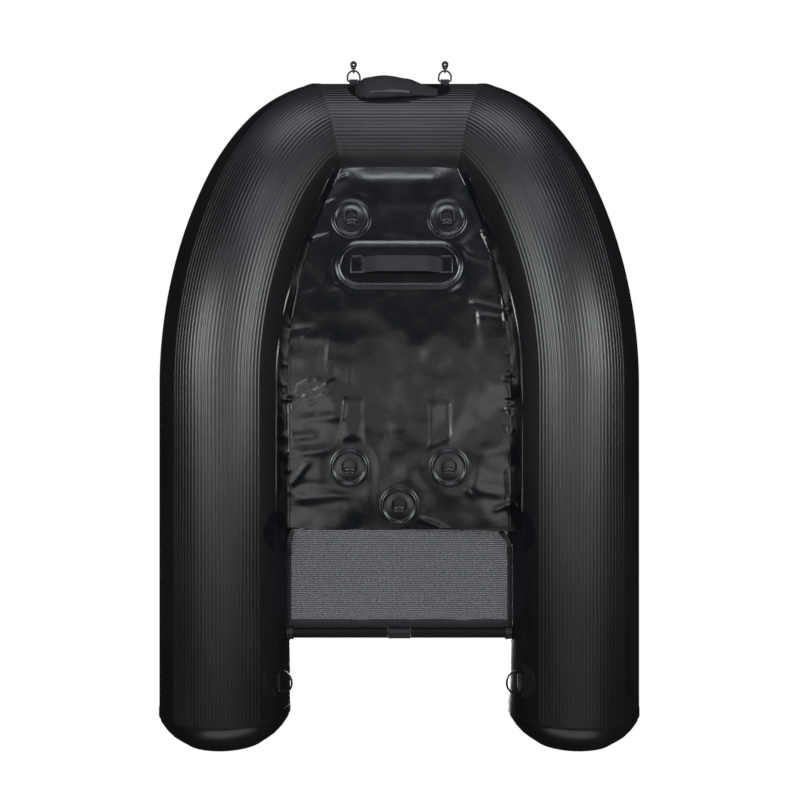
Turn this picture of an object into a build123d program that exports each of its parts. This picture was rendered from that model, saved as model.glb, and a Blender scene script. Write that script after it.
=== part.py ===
from build123d import *
import os
from math import acos, atan2, cos, degrees, radians, sin, sqrt, tan

# A one-person inflatable fishing boat of the belly boat kind: a U-shaped buoyancy tube whose
# closed bow turns up, a belly panel glued between the tubes, a high seat with a backrest that
# folds down on it, and a mesh leg support held open by a crossbar. It lies on its two pontoons
# as it parks: +Z is up, +Y points to the closed bow, and the origin is on the ground below the
# middle. Port is the -X side, starboard the +X side. All sizes are in millimetres.

# Hull tube
TUBE_R = 162.0            # radius of the inflated tube
TUBE_X = 437.0            # half the distance between the two pontoon axes
STRAKE_H = 2.8            # height of a rubbing strake's ribs over the tube's skin
AXIS_Z = TUBE_R + STRAKE_H  # a pontoon's axis: its strake meets the ground
BEND_START_Y = 25.0       # where the straight pontoon begins to curve in and up
BENDS = ((1044.0, 25.7), (497.0, 16.5), (235.0, 25.8))   # radius and turn of each gore
SHEER_TILT = 30.0         # the bends lie in a plane tilted this far, which lifts the bow
CAP_SEAM_Y = -788.0       # where the tip cap is welded on
CAP_LENGTH = 77.0
CAP_END_R = 84.0
SKIN_GAP = 0.3            # air left between glued layers

# Rubbing strakes: ribbed bands along the underside
STRAKE_HALF = 40.0        # degrees either side of the centre of the band
STRAKE_VALLEY_H = 1.2     # height of the grooves between its ribs over the tube's skin
STRAKE_RIBS = 25
STRAKE_GROOVE = 0.5       # share of the pitch that the groove between two ribs takes
STRAKE_START_Y = CAP_SEAM_Y + 3.0

# Belly panel
PANEL_Z = 135.0           # its lower face over the straight pontoons
PANEL_BOW_Z = 163.0       # its lower face where it meets the bow tube
PANEL_T = 3.0
PANEL_REAR_Y = -333.0
PANEL_FLAT_Y = 128.0
PANEL_BOW_Y = 608.0
PANEL_BEND_R = 2000.0
FLANGE_T = 2.0
FLANGE_EDGE = 57.0        # degrees from the bottom of the pontoon to the flange's free edge

# Ring pads of the belly panel
PAD_PLACES = {"starboard_forward": (120.0, 444.0), "port_forward": (-120.0, 444.0),
              "starboard_rear": (124.0, -178.0), "port_rear": (-124.0, -178.0),
              "centre_rear": (0.0, -273.0)}
PAD_R = 52.0
PAD_DISC_R = 42.0
PAD_DISC_H = 3.0
PAD_WIRE = 4.0
PAD_RING = (34.0, 30.0)   # width and length of the D-ring
PAD_RING_LIFT = 12.0      # degrees by which the ring stands off the pad
BRIDGE = (26.0, 20.0)     # width and length of the moulded loop that holds the ring
BRIDGE_REAR = 8.0         # the ring's bar lies this far behind the middle of the pad

# Patches, rings and hooks
PATCH_T = 1.5
WEB_T = 2.5
WEBBING = 25.0
RING_WIRE = 5.0
TIP_RING_Y = -692.0
TIP_RING_ANGLE = 58.0     # degrees from the bottom of the pontoon towards the inside
TIP_RING = (50.0, 40.0)
TIP_PATCH_R = 44.0
TIP_LOOP = (34.0, 40.0)
BOW_RING_X = 118.0
BOW_RING_ANGLE = 72.0     # degrees from the bottom of the bow tube towards the front
BOW_RING_WIRE = 4.5
BOW_RING = (32.0, 26.0)
BOW_LOOP = (22.0, 26.0)
HOOK_ROD = 3.4            # thickness of the snap hook's rod
HOOK_EYE_R = 4.6
HOOK_BARREL_R = 3.9
HOOK_NECK = 10.0          # from the ring's wire to the top of the hook's barrel
HOOK_BOW_R = 6.4          # radius of the hook's head
HOOK_TOP = 24.0           # from the ring's wire to the middle of the head's rod

# Handles and valves
BOW_HANDLE_ANGLE = 48.0
BOW_HANDLE_BASE_X = 92.0
BELLY_HANDLE_Y = 327.0
BELLY_OVAL = (320.0, 124.0)
SIDE_HANDLE_Y = -102.0
SIDE_HANDLE_ANGLE = -140.0
SIDE_HANDLE_BASE = 105.0
VALVE_Y = -552.0
VALVE_ANGLE = 165.0
VALVE_COLLAR_R = 31.0
VALVE_CAP_R = 22.0
VALVE_CAP_H = 10.0
VALVE_GRIPS = 16
VALVE_SINK = 3.0          # the collar's rim starts this far inside the tube's skin

# Seat and backrest
SEAT_HALF_X = 262.0
SEAT_FRONT_Y = -327.0
SEAT_BACK_Y = 213.0
SEAT_LOW_Z = 146.0
SEAT_TOP_Z = 345.0
SEAT_EDGE_R = 45.0
SEAT_RIM_R = 27.0
FOLD_Y = 116.0            # the fold line at the foot of the backrest
FOLD_Z = SEAT_TOP_Z + 8.0
FOLD_GAP = 6.0            # the backrest's level foot above the fold line
BACK_HALF_X = 250.0
BACK_HEIGHT = 430.0
BACK_T = 85.0
BACK_LEAN = 12.0
BACK_EDGE_R = 30.0
STRAP_ANCHOR_Y = -52.0
STRAP_ANCHOR_ANGLE = 140.0
STRAP_HIGH = (263.0, 220.0, 640.0)
STRAP_START = 16.0        # the strap begins this far above its anchor loop
BUCKLE_AT = 0.3           # share of the strap's length below the buckle
BUCKLE = (58.0, 36.0, 11.0)
BACK_TAB = (8.0, 34.0, 30.0)

# Leg support
BAR_Y = -588.0
BAR_Z = 134.0
BAR_R = 12.5
FERRULE_L = 56.0
FERRULE_WALL = 1.5
SOCKET_WALL = 3.5
SOCKET_L = 18.0
SOCKET_IN = 3.0           # the socket's middle lies this far inside the bar's end
MESH_HALF_X = 264.0
MESH_Z = 138.0
MESH_T = 1.5
HEM = (24.0, 3.0)         # depth and thickness
MESH_FRONT_Y = BAR_Y + BAR_R + SOCKET_WALL + 1.0 + HEM[0]   # the hem clears the sockets
BINDING = (8.0, 2.0)      # width and thickness

os.makedirs("parts", exist_ok=True)
NODES = {}


def save(name, shape):
    """Keep one node; the STEP files are written together at the end."""
    NODES[name] = shape


def save_pair(name, starboard_shape):
    """One piece on each side of the boat, the port one mirrored from the starboard one."""
    save("starboard_" + name, starboard_shape)
    save("port_" + name, mirror(starboard_shape, about=Plane.YZ))


# ---------------------------------------------------------------- the run of the tube
TILT = radians(SHEER_TILT)
INWARD_UP = Vector(-cos(TILT), 0, sin(TILT))     # the way the starboard pontoon bends
BEND_NORMAL = Vector(sin(TILT), 0, cos(TILT))
BEND_PLANE = Plane(origin=(TUBE_X, 0, AXIS_Z), x_dir=(0, 1, 0), z_dir=BEND_NORMAL)
BEND_TOTAL = radians(sum(turn for _, turn in BENDS))

# Angles in a section of the starboard tube run from INWARD_UP. Its bottom lies here, and
# angles that grow from it go towards the inner side of the boat.
SIDE_BOTTOM = -90.0 - SHEER_TILT


def side_axis(start_y, tail=0.0):
    """Centreline of the starboard side from start_y to the bow seam, with a straight tail."""
    last = Line((start_y, 0), (BEND_START_Y, 0))
    run = Curve() + last
    for radius, turn in BENDS:
        last = JernArc(last @ 1, last % 1, radius, turn)
        run += last
    if tail:
        run += Line(last @ 1, last @ 1 + (last % 1) * tail)
    return BEND_PLANE * run


SEAM = side_axis(CAP_SEAM_Y) @ 1
SEAM_DIR = side_axis(CAP_SEAM_Y) % 1
MITRE = Plane(origin=SEAM, z_dir=(SEAM_DIR.X - 1, SEAM_DIR.Y, SEAM_DIR.Z))
PORT_MITRE = Plane(origin=(-SEAM.X, SEAM.Y, SEAM.Z),
                   z_dir=(1 - SEAM_DIR.X, SEAM_DIR.Y, SEAM_DIR.Z))


def band_section(inner_r, outer_r, start, end):
    """A curved strip of a ring, drawn round the origin between two angles in degrees."""
    outer = CenterArc((0, 0), outer_r, start, end - start)
    inner = CenterArc((0, 0), inner_r, start, end - start)
    sides = Line(outer @ 0, inner @ 0) + Line(outer @ 1, inner @ 1)
    return make_face(Curve() + outer + inner + sides)


def sweep_side(section, start_y):
    """Sweep a section along the starboard side and mitre it at the bow seam."""
    plane = Plane(origin=(TUBE_X, start_y, AXIS_Z), x_dir=INWARD_UP, z_dir=(0, 1, 0))
    solid = sweep(plane * section, path=side_axis(start_y, tail=2 * TUBE_R))
    return split(solid, bisect_by=MITRE, keep=Keep.BOTTOM)


def sweep_bow(section):
    """Extrude a section along the bow between the two mitres; angle 0 points forward."""
    reach = 2 * TUBE_R + SEAM.X
    plane = Plane(origin=(-reach, SEAM.Y, SEAM.Z), x_dir=(0, 1, 0), z_dir=(1, 0, 0))
    solid = extrude(plane * section, amount=2 * reach)
    solid = split(solid, bisect_by=MITRE, keep=Keep.TOP)
    return split(solid, bisect_by=PORT_MITRE, keep=Keep.TOP)


def bow_strake_angle():
    """Where the mitre carries the side strake's centre line to on the bow tube, in degrees."""
    across = Vector(0, -1, 0) * sin(BEND_TOTAL) + INWARD_UP * cos(BEND_TOTAL)
    bottom = radians(SIDE_BOTTOM)
    centre = across * cos(bottom) + BEND_NORMAL * sin(bottom)
    landed = centre - MITRE.z_dir * (2 * centre.dot(MITRE.z_dir))
    return -degrees(acos(landed.Y / sqrt(landed.Y ** 2 + landed.Z ** 2)))


def tubes():
    save_pair("tube", sweep_side(Circle(TUBE_R), CAP_SEAM_Y))
    save("bow_tube", sweep_bow(Circle(TUBE_R)))


def tip_cap():
    """The truncated cone that closes a pontoon, its wall slightly bulged by the pressure."""
    wall = ThreePointArc((TUBE_R, 0), (TUBE_R - 21, -38), (CAP_END_R + 20, -CAP_LENGTH + 9))
    edge = ThreePointArc(wall @ 1, (CAP_END_R + 12, -CAP_LENGTH + 3), (CAP_END_R, -CAP_LENGTH))
    shut = Line(edge @ 1, (0, -CAP_LENGTH)) + Line((0, -CAP_LENGTH), (0, 0))
    profile = make_face(Curve() + wall + edge + shut + Line((0, 0), wall @ 0))
    return Pos(TUBE_X, CAP_SEAM_Y, AXIS_Z) * revolve(profile, axis=Axis.Y)


def ribbed_section(centre):
    """Section of a rubbing strake: a thin base under a row of flat-topped ribs with grooves
    between them, drawn round the origin and centred on an angle in degrees. Each rib has its
    own short glued face, whose middle comes nearest to the tube."""
    first = centre - STRAKE_HALF
    pitch = 2 * STRAKE_HALF / STRAKE_RIBS
    groove = pitch * STRAKE_GROOVE
    inner = Vector((TUBE_R + SKIN_GAP) / cos(radians(pitch / 2)), 0)
    valley = Vector(TUBE_R + STRAKE_VALLEY_H, 0)
    crest = Vector(TUBE_R + STRAKE_H, 0)
    outline = Curve()
    for rib in range(STRAKE_RIBS):
        left = first + rib * pitch
        corners = [(valley, 0), (crest, groove / 2), (crest, pitch - groove / 2),
                   (valley, pitch)]
        outline += Polyline(*(point.rotate(Axis.Z, left + turn) for point, turn in corners))
        outline += Line(inner.rotate(Axis.Z, left), inner.rotate(Axis.Z, left + pitch))
    for edge in (first, first + 2 * STRAKE_HALF):
        outline += Line(inner.rotate(Axis.Z, edge), valley.rotate(Axis.Z, edge))
    return make_face(outline)


def strakes():
    save_pair("strake", sweep_side(ribbed_section(SIDE_BOTTOM), STRAKE_START_Y))
    save("bow_strake", sweep_bow(ribbed_section(bow_strake_angle())))


# ---------------------------------------------------------------- belly panel
PANEL_RISE = degrees(atan2(PANEL_BOW_Z - PANEL_Z, PANEL_BOW_Y - PANEL_FLAT_Y))


def panel_profile(low, high):
    """Side view of a sheet that follows the panel, from low to high above its lower face."""
    def edge(lift):
        points = ((PANEL_REAR_Y, PANEL_Z + lift), (PANEL_FLAT_Y, PANEL_Z + lift),
                  (PANEL_BOW_Y, PANEL_BOW_Z + lift))
        return FilletPolyline(*points, radius=PANEL_BEND_R)
    lower, upper = edge(low), edge(high)
    ends = Line(lower @ 0, upper @ 0) + Line(lower @ 1, upper @ 1)
    return Plane.YZ * make_face(Curve() + lower + upper + ends)


def belly_panel():
    """The sheet between the tubes, cut a little short of them."""
    sheet = extrude(panel_profile(0, PANEL_T), amount=TUBE_X, both=True)
    side = sweep_side(Circle(TUBE_R + SKIN_GAP), CAP_SEAM_Y)
    for tube in (side, mirror(side, about=Plane.YZ), sweep_bow(Circle(TUBE_R + SKIN_GAP))):
        sheet = sheet - tube
    return sheet.solids().sort_by_distance((0, 0, PANEL_Z))[0]


def panel_flange():
    """The glued strip that turns down from the panel along the inside of the pontoon."""
    inner = TUBE_R + SKIN_GAP
    band = sweep_side(band_section(inner, inner + FLANGE_T, SIDE_BOTTOM + FLANGE_EDGE,
                                   SIDE_BOTTOM + 90), PANEL_REAR_Y)
    above = extrude(panel_profile(-SKIN_GAP, 4 * TUBE_R), amount=2 * TUBE_X, both=True)
    return (band - above).solids().sort_by(SortBy.VOLUME)[-1]


def under_panel(x, y, lift=SKIN_GAP):
    """Plane on the panel's lower face, its z pointing down out of it and its x to starboard."""
    tilt = radians(PANEL_RISE) if y > PANEL_FLAT_Y else 0.0
    height = PANEL_Z + max(y - PANEL_FLAT_Y, 0.0) * tan(tilt)
    out = Vector(0, sin(tilt), -cos(tilt))
    return Plane(origin=Vector(x, y, height) + out * lift, x_dir=(1, 0, 0), z_dir=out)


# ---------------------------------------------------------------- placing pieces on tubes
def on_pontoon(y, angle, lift=0.0):
    """Plane on the straight starboard pontoon, angle degrees from its bottom towards the
    inside; its x runs forward along the tube and its z out of the skin."""
    turn = radians(angle)
    out = Vector(-sin(turn), 0, -cos(turn))
    origin = Vector(TUBE_X, y, AXIS_Z) + out * (TUBE_R + lift)
    return Plane(origin=origin, x_dir=(0, 1, 0), z_dir=out)


def on_bow(x, angle, lift=0.0):
    """Plane on the bow tube, angle degrees from its bottom towards the front; its x runs
    along the tube to starboard."""
    turn = radians(angle)
    out = Vector(0, sin(turn), -cos(turn))
    origin = Vector(x, SEAM.Y, SEAM.Z) + out * (TUBE_R + lift)
    return Plane(origin=origin, x_dir=(1, 0, 0), z_dir=out)


def curved_patch(half_x, half_y, thickness=PATCH_T, base=TUBE_R):
    """A thin glued patch, round or oval, bent over a tube whose axis is the frame's x. The
    frame's origin is on the tube's bare skin."""
    column = Pos(0, 0, -base) * extrude(Ellipse(half_x, half_y), amount=2 * base)
    inner = base + SKIN_GAP
    shell = extrude(Plane.YZ * (Circle(inner + thickness) - Circle(inner)), amount=2 * half_x,
                    both=True)
    return column & (Pos(0, 0, -base) * shell)


# ---------------------------------------------------------------- rings and their webbing
def bent_wire(face, wire):
    """Round wire along a face's outline."""
    path = face.face().outer_wire()
    return sweep(Plane(origin=path @ 0, z_dir=path % 0) * Circle(wire / 2), path=path)


def d_ring(width, length, wire):
    """A D-shaped wire ring in its own XY plane, its straight bar along X at the origin."""
    half = width / 2
    bar = Line((-half, 0), (half, 0))
    right = Line((half, 0), (half, length - half))
    arch = ThreePointArc((half, length - half), (0, length), (-half, length - half))
    left = Line((-half, length - half), (-half, 0))
    face = make_face(Curve() + bar + right + arch + left)
    corners = face.vertices().group_by(Axis.Y)[0]
    return bent_wire(fillet(corners, wire), wire)


def web_loop(width, length, wire):
    """Folded webbing glued to a skin at z=0, and the height of the eye in it, which holds a
    ring's bar along X."""
    eye_r = wire / 2 + SKIN_GAP
    height = wire / 2 + WEB_T + 1.0
    base = Box(width, length, WEB_T, align=(Align.CENTER, Align.CENTER, Align.MIN))
    outer = Pos(0, 0, height) * Cylinder(eye_r + WEB_T, width, rotation=(0, 90, 0))
    neck = Box(width, 2 * (eye_r + WEB_T), height,
               align=(Align.CENTER, Align.CENTER, Align.MIN))
    eye = Pos(0, 0, height) * Cylinder(eye_r, 2 * width, rotation=(0, 90, 0))
    return base + outer + neck - eye, height


def seated(piece, lift, half_length=100.0):
    """Cut away what a piece would put into the tube below it, whose axis is the frame's x."""
    tube = Cylinder(TUBE_R + lift + SKIN_GAP, 2 * half_length, rotation=(0, 90, 0))
    return piece - Pos(0, 0, -TUBE_R) * tube


def bridge():
    """The moulded loop of a ring pad: a low dome with a lengthwise eye for the ring's bar."""
    width, length = BRIDGE
    eye_r = PAD_WIRE / 2 + SKIN_GAP
    height = PAD_DISC_H + eye_r
    dome = Pos(0, 0, height) * Cylinder(eye_r + WEB_T, width, rotation=(0, 90, 0))
    foot = Pos(0, 0, PAD_DISC_H / 2) * extrude(Ellipse(width / 2 + 1, length / 2), amount=2.6)
    neck = Box(width, 2 * (eye_r + WEB_T), height,
               align=(Align.CENTER, Align.CENTER, Align.MIN))
    eye = Pos(0, 0, height) * Cylinder(eye_r, 3 * width, rotation=(0, 90, 0))
    return dome + foot + neck - eye, height


def belly_pad():
    """Welded ring pad of the belly panel: a thin flange, a raised disc with a rolled rim and
    a moulded loop that holds the ring. It stands up from z=0."""
    rim = PAD_DISC_R
    low = Polyline((0, PAD_DISC_H), (0, 0), (PAD_R, 0), (PAD_R, 1.0), (rim + 2.5, 1.6))
    roll = ThreePointArc(low @ 1, (rim, 5.6), (rim - 4.0, PAD_DISC_H))
    disc = revolve(Plane.XZ * make_face(Curve() + low + roll + Line(roll @ 1, low @ 0)),
                   axis=Axis.Z)
    loop, height = bridge()
    return disc + Pos(0, BRIDGE_REAR, 0) * loop, height


def belly_pads():
    pad, height = belly_pad()
    pads = []
    for name, (x, y) in PAD_PLACES.items():
        place = under_panel(x, y).location
        pads.append(place * pad)
        ring = Pos(0, BRIDGE_REAR, height) * Rot(Z=180) * Rot(X=PAD_RING_LIFT)
        save(name + "_belly_ring", place * ring * d_ring(*PAD_RING, PAD_WIRE))
    save("belly_ring_pads", Compound(children=pads))


def tip_rings():
    """The wire rings inside the two pontoon tips."""
    place = on_pontoon(TIP_RING_Y, TIP_RING_ANGLE).location
    loop, height = web_loop(*TIP_LOOP, RING_WIRE)
    lift = SKIN_GAP + PATCH_T
    loop = seated(Pos(0, 0, lift) * loop, lift)
    patch = curved_patch(TIP_PATCH_R, TIP_PATCH_R)
    save_pair("tip_ring_mount", place * Compound(children=[patch, loop]))
    save_pair("tip_ring", place * Pos(0, 0, lift + height) * Rot(X=90)
              * d_ring(*TIP_RING, RING_WIRE))


def snap_hook():
    """A small swivel snap hook that stands up along Z from a ring's wire at the origin: an
    eye round that wire, a turned barrel, and a hook in the XZ plane closed by a spring gate."""
    rod = HOOK_ROD / 2
    eye = Torus(HOOK_EYE_R, rod, rotation=(0, 90, 0))
    shoulder = HOOK_EYE_R + rod - 0.6
    barrel = Pos(0, 0, shoulder) * Cylinder(
        HOOK_BARREL_R, HOOK_NECK - shoulder, align=(Align.CENTER, Align.CENTER, Align.MIN))
    barrel = fillet(barrel.edges().filter_by(GeomType.CIRCLE), 1.0)
    bow = HOOK_BOW_R
    side_z = HOOK_TOP - bow
    root = Line((1.6, HOOK_NECK - 1.0), (bow, side_z))
    head = ThreePointArc(root @ 1, (0, HOOK_TOP), (-bow, side_z))
    nose = Line(head @ 1, (-bow + 0.9, side_z - 3.2))
    path = Plane.XZ * Wire(Curve() + root + head + nose)
    body = sweep(Plane(origin=path @ 0, z_dir=path % 0) * Circle(rod), path=path)
    tip = path @ 1
    gate = Line((-1.6, 0, HOOK_NECK - 1.0), (tip.X + 0.4, 0, tip.Z + 0.4))
    spring = sweep(Plane(origin=gate @ 0, z_dir=gate % 0) * Circle(rod * 0.75), path=gate)
    return eye + barrel + body + Pos(*tip) * Sphere(rod) + spring


def bow_rings():
    """Two small rings at the front of the bow, each with a snap hook on it."""
    place = on_bow(BOW_RING_X, BOW_RING_ANGLE).location
    loop, height = web_loop(*BOW_LOOP, BOW_RING_WIRE)
    save_pair("bow_ring_tab", place * seated(Pos(0, 0, SKIN_GAP) * loop, SKIN_GAP))
    top = SKIN_GAP + height
    save_pair("bow_ring", place * Pos(0, 0, top) * Rot(X=90) * d_ring(*BOW_RING,
                                                                      BOW_RING_WIRE))
    save_pair("snap_hook", place * Pos(0, 0, top + BOW_RING[1]) * snap_hook())


# ---------------------------------------------------------------- handles
def arched_handle(span, width, thickness, rise, foot):
    """A webbing grab handle along X: two flat feet on z=0 and an arch between them."""
    half, mid = span / 2, thickness / 2
    run = span * 0.16
    points = ((-half - foot, mid), (-half, mid), (-half + run, rise), (half - run, rise),
              (half, mid), (half + foot, mid))
    path = Plane.XZ * FilletPolyline(*points, radius=run * 0.7)
    section = Plane(origin=path @ 0, z_dir=path % 0) * Rectangle(thickness, width)
    return sweep(section, path=path)


def handles():
    lift = SKIN_GAP + PATCH_T + SKIN_GAP
    save("bow_handle", on_bow(0, BOW_HANDLE_ANGLE, STRAKE_H + lift).location
         * arched_handle(span=150, width=30, thickness=9, rise=36, foot=24))
    bases = [on_bow(side * BOW_HANDLE_BASE_X, BOW_HANDLE_ANGLE, STRAKE_H).location
             * curved_patch(38, 34, base=TUBE_R + STRAKE_H) for side in (-1, 1)]
    save("bow_handle_bases", Compound(children=bases))
    oval = extrude(SlotOverall(*BELLY_OVAL), amount=PATCH_T)
    save("belly_handle_patch", under_panel(0, BELLY_HANDLE_Y).location * oval)
    save("belly_handle", under_panel(0, BELLY_HANDLE_Y, 2 * SKIN_GAP + PATCH_T).location
         * arched_handle(span=190, width=40, thickness=3, rise=24, foot=22))
    save_pair("carry_handle", on_pontoon(SIDE_HANDLE_Y, SIDE_HANDLE_ANGLE, lift).location
              * arched_handle(span=180, width=32, thickness=3, rise=32, foot=26))
    skin = on_pontoon(SIDE_HANDLE_Y, SIDE_HANDLE_ANGLE).location
    feet = [skin * Pos(end * SIDE_HANDLE_BASE, 0, 0) * curved_patch(40, 32)
            for end in (-1, 1)]
    save_pair("carry_handle_bases", Compound(children=feet))


# ---------------------------------------------------------------- corners of the panel
def corners():
    """A round patch over each rear corner of the panel, and the short strap that ties the
    corner back to the leg support."""
    base = TUBE_R + FLANGE_T + SKIN_GAP
    place = on_pontoon(PANEL_REAR_Y + 4.0, 60.0, FLANGE_T + SKIN_GAP)
    save_pair("corner_patch", place.location * curved_patch(48, 48, base=base))
    line = ThreePointArc((246, PANEL_REAR_Y - 2, 124), (262, PANEL_REAR_Y - 31, 118),
                         (268, PANEL_REAR_Y - 64, 128))
    strip = Plane(origin=line @ 0, z_dir=line % 0) * Rectangle(2, 12)
    save_pair("corner_strap", sweep(strip, path=line))


# ---------------------------------------------------------------- leg support
def crossbar():
    """Two bars joined by a ferrule, their outer ends in sockets glued to the pontoons."""
    reach = TUBE_X - sqrt(TUBE_R ** 2 - (AXIS_Z - BAR_Z) ** 2) - 4.0
    half = Pos(FERRULE_L / 2, BAR_Y, BAR_Z) * Cylinder(
        BAR_R, reach - FERRULE_L / 2, rotation=(0, 90, 0),
        align=(Align.CENTER, Align.CENTER, Align.MIN))
    save_pair("crossbar", half)
    ferrule = Cylinder(BAR_R + FERRULE_WALL, FERRULE_L - 2 * SKIN_GAP, rotation=(0, 90, 0))
    ferrule = chamfer(ferrule.edges().filter_by(GeomType.CIRCLE), FERRULE_WALL * 0.6)
    save("crossbar_ferrule", Pos(0, BAR_Y, BAR_Z) * ferrule)
    socket = Cylinder(BAR_R + SOCKET_WALL, SOCKET_L, rotation=(0, 90, 0))
    socket = fillet(socket.edges().filter_by(GeomType.CIRCLE), SOCKET_WALL / 2)
    socket = socket - Cylinder(BAR_R + SKIN_GAP, 2 * SOCKET_L, rotation=(0, 90, 0))
    socket = Pos(reach - SOCKET_IN, BAR_Y, BAR_Z) * socket
    skin = Pos(TUBE_X, BAR_Y, AXIS_Z) * Cylinder(TUBE_R + SKIN_GAP, 4 * SOCKET_L,
                                                 rotation=(90, 0, 0))
    save_pair("crossbar_socket", (socket - skin).solids().sort_by(SortBy.VOLUME)[-1])


def leg_mesh():
    """The mesh sheet behind the panel, its hem over the crossbar and its bound sides."""
    length = PANEL_REAR_Y - 1.0 - MESH_FRONT_Y
    sheet = Box(2 * MESH_HALF_X, length, MESH_T, align=(Align.CENTER, Align.MIN, Align.CENTER))
    save("leg_mesh", Pos(0, MESH_FRONT_Y, MESH_Z) * sheet)
    hem = Box(2 * MESH_HALF_X, *HEM, align=(Align.CENTER, Align.MAX, Align.CENTER))
    save("mesh_hem", Pos(0, MESH_FRONT_Y - SKIN_GAP, MESH_Z) * hem)
    width, thickness = BINDING
    edge = Box(width, length, thickness, align=(Align.MIN, Align.MIN, Align.CENTER))
    save_pair("mesh_binding", Pos(MESH_HALF_X + SKIN_GAP, MESH_FRONT_Y, MESH_Z) * edge)


# ---------------------------------------------------------------- seat
def seat_cushion():
    size = (2 * SEAT_HALF_X, SEAT_BACK_Y - SEAT_FRONT_Y, SEAT_TOP_Z - SEAT_LOW_Z)
    block = Box(*size, align=(Align.CENTER, Align.MIN, Align.MIN))
    block = fillet(block.edges().filter_by(Axis.Z), SEAT_EDGE_R)
    block = fillet(block.faces().sort_by(Axis.Z)[-1].edges(), SEAT_RIM_R)
    return Pos(0, SEAT_FRONT_Y, SEAT_LOW_Z) * block


def backrest():
    """Stands on the rear of the seat and leans back; its foot is cut level."""
    slope = tan(radians(BACK_LEAN))
    depth = BACK_T / cos(radians(BACK_LEAN))
    outline = Polyline((0, FOLD_GAP), (depth, FOLD_GAP),
                       (depth + slope * BACK_HEIGHT, BACK_HEIGHT),
                       (slope * BACK_HEIGHT, BACK_HEIGHT), close=True)
    block = extrude(Plane.YZ * make_face(outline), amount=BACK_HALF_X, both=True)
    top = block.edges().filter_by(Axis.X).sort_by(Axis.Z)[-2:]
    block = fillet(top, BACK_EDGE_R)
    return Pos(0, FOLD_Y, FOLD_Z) * block


def strap_buckle():
    """A side-release buckle along X: a rounded housing with the two prongs that show in its
    side windows, and a slotted bar at each end for the webbing."""
    length, width, thickness = BUCKLE
    middle = length * 0.5
    housing = extrude(RectangleRounded(middle, width, 6), amount=thickness / 2, both=True)
    housing = chamfer(housing.faces().sort_by(Axis.Z)[-1].edges()
                      + housing.faces().sort_by(Axis.Z)[0].edges(), 1.8)
    window = extrude(RectangleRounded(middle * 0.55, 7, 3), amount=thickness, both=True)
    prong = extrude(RectangleRounded(middle * 0.5, 5, 2), amount=thickness * 0.3, both=True)
    for side in (-1, 1):
        edge = Pos(0, side * width / 2, 0)
        housing = housing - edge * window
        housing = housing + Pos(0, side * (width / 2 - 3), 0) * prong
    frame = extrude(RectangleRounded(length * 0.3, width, 3), amount=thickness * 0.25,
                    both=True)
    slot = extrude(RectangleRounded(4.5, WEBBING + 2, 2), amount=thickness, both=True)
    for end in (-1, 1):
        place = Pos(end * length * 0.35, 0, 0)
        housing = housing + place * frame - Pos(end * length * 0.4, 0, 0) * slot
    return housing


def backrest_straps():
    """Webbing that holds the backrest from the pontoons, with a side-release buckle."""
    loop, height = web_loop(34, 34, RING_WIRE)
    lift = SKIN_GAP + PATCH_T
    loop = seated(Pos(0, 0, lift) * loop, lift)
    anchor = on_pontoon(STRAP_ANCHOR_Y, STRAP_ANCHOR_ANGLE).location
    save_pair("strap_anchor", anchor * Compound(children=[curved_patch(40, 36), loop]))
    low = on_pontoon(STRAP_ANCHOR_Y, STRAP_ANCHOR_ANGLE, height + STRAP_START).origin
    high = Vector(*STRAP_HIGH)
    run = high - low
    place = Plane(origin=low, x_dir=run, z_dir=run.cross(Vector(0, 0, 1))).location
    middle = Pos(run.length * BUCKLE_AT, 0, 0)
    strip = Pos(run.length / 2, 0, 0) * Box(run.length, WEBBING, WEB_T)
    room = middle * Box(BUCKLE[0] + 2 * SKIN_GAP, 2 * WEBBING, BUCKLE[2])
    save_pair("strap_buckle", place * middle * strap_buckle())
    save_pair("backrest_strap", place * (strip - room))
    tab = Box(*BACK_TAB, align=(Align.MIN, Align.CENTER, Align.CENTER))
    save_pair("backrest_tab", Pos(BACK_HALF_X + SKIN_GAP, high.Y, high.Z) * tab)


# ---------------------------------------------------------------- inflation valves
def valve():
    """A screw-in inflation valve: a flanged collar with a rounded shoulder and a cap with
    finger grips round its edge."""
    collar_h = VALVE_SINK + 5.0
    low = Polyline((0, collar_h), (0, 0), (VALVE_COLLAR_R, 0), (VALVE_COLLAR_R, VALVE_SINK + 1.5))
    shoulder = ThreePointArc(low @ 1, (VALVE_CAP_R + 4.5, collar_h - 1.0),
                             (VALVE_CAP_R + 2.0, collar_h))
    collar = revolve(Plane.XZ * make_face(Curve() + low + shoulder
                                          + Line(shoulder @ 1, low @ 0)), axis=Axis.Z)
    cap = Cylinder(VALVE_CAP_R, VALVE_CAP_H, align=(Align.CENTER, Align.CENTER, Align.MIN))
    cap = fillet(cap.edges().filter_by(GeomType.CIRCLE).sort_by(Axis.Z)[-1], 2.5)
    grip = Cylinder(2.2, 3 * VALVE_CAP_H)
    for place in PolarLocations(VALVE_CAP_R + 0.8, VALVE_GRIPS):
        cap = cap - place * grip
    handle = Pos(0, 0, VALVE_CAP_H) * extrude(SlotOverall(1.5 * VALVE_CAP_R, 7), amount=2.5)
    return collar + Pos(0, 0, collar_h) * (cap + handle)


def valves():
    body = Pos(0, 0, -VALVE_SINK) * valve()
    save_pair("valve", on_pontoon(VALVE_Y, VALVE_ANGLE).location * seated(body, 0))


tubes()
save_pair("tip_cap", tip_cap())
strakes()
save("belly_panel", belly_panel())
save_pair("panel_flange", panel_flange())
belly_pads()
tip_rings()
bow_rings()
handles()
corners()
crossbar()
leg_mesh()
save("seat_cushion", seat_cushion())
save("backrest", backrest())
backrest_straps()
valves()

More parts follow.
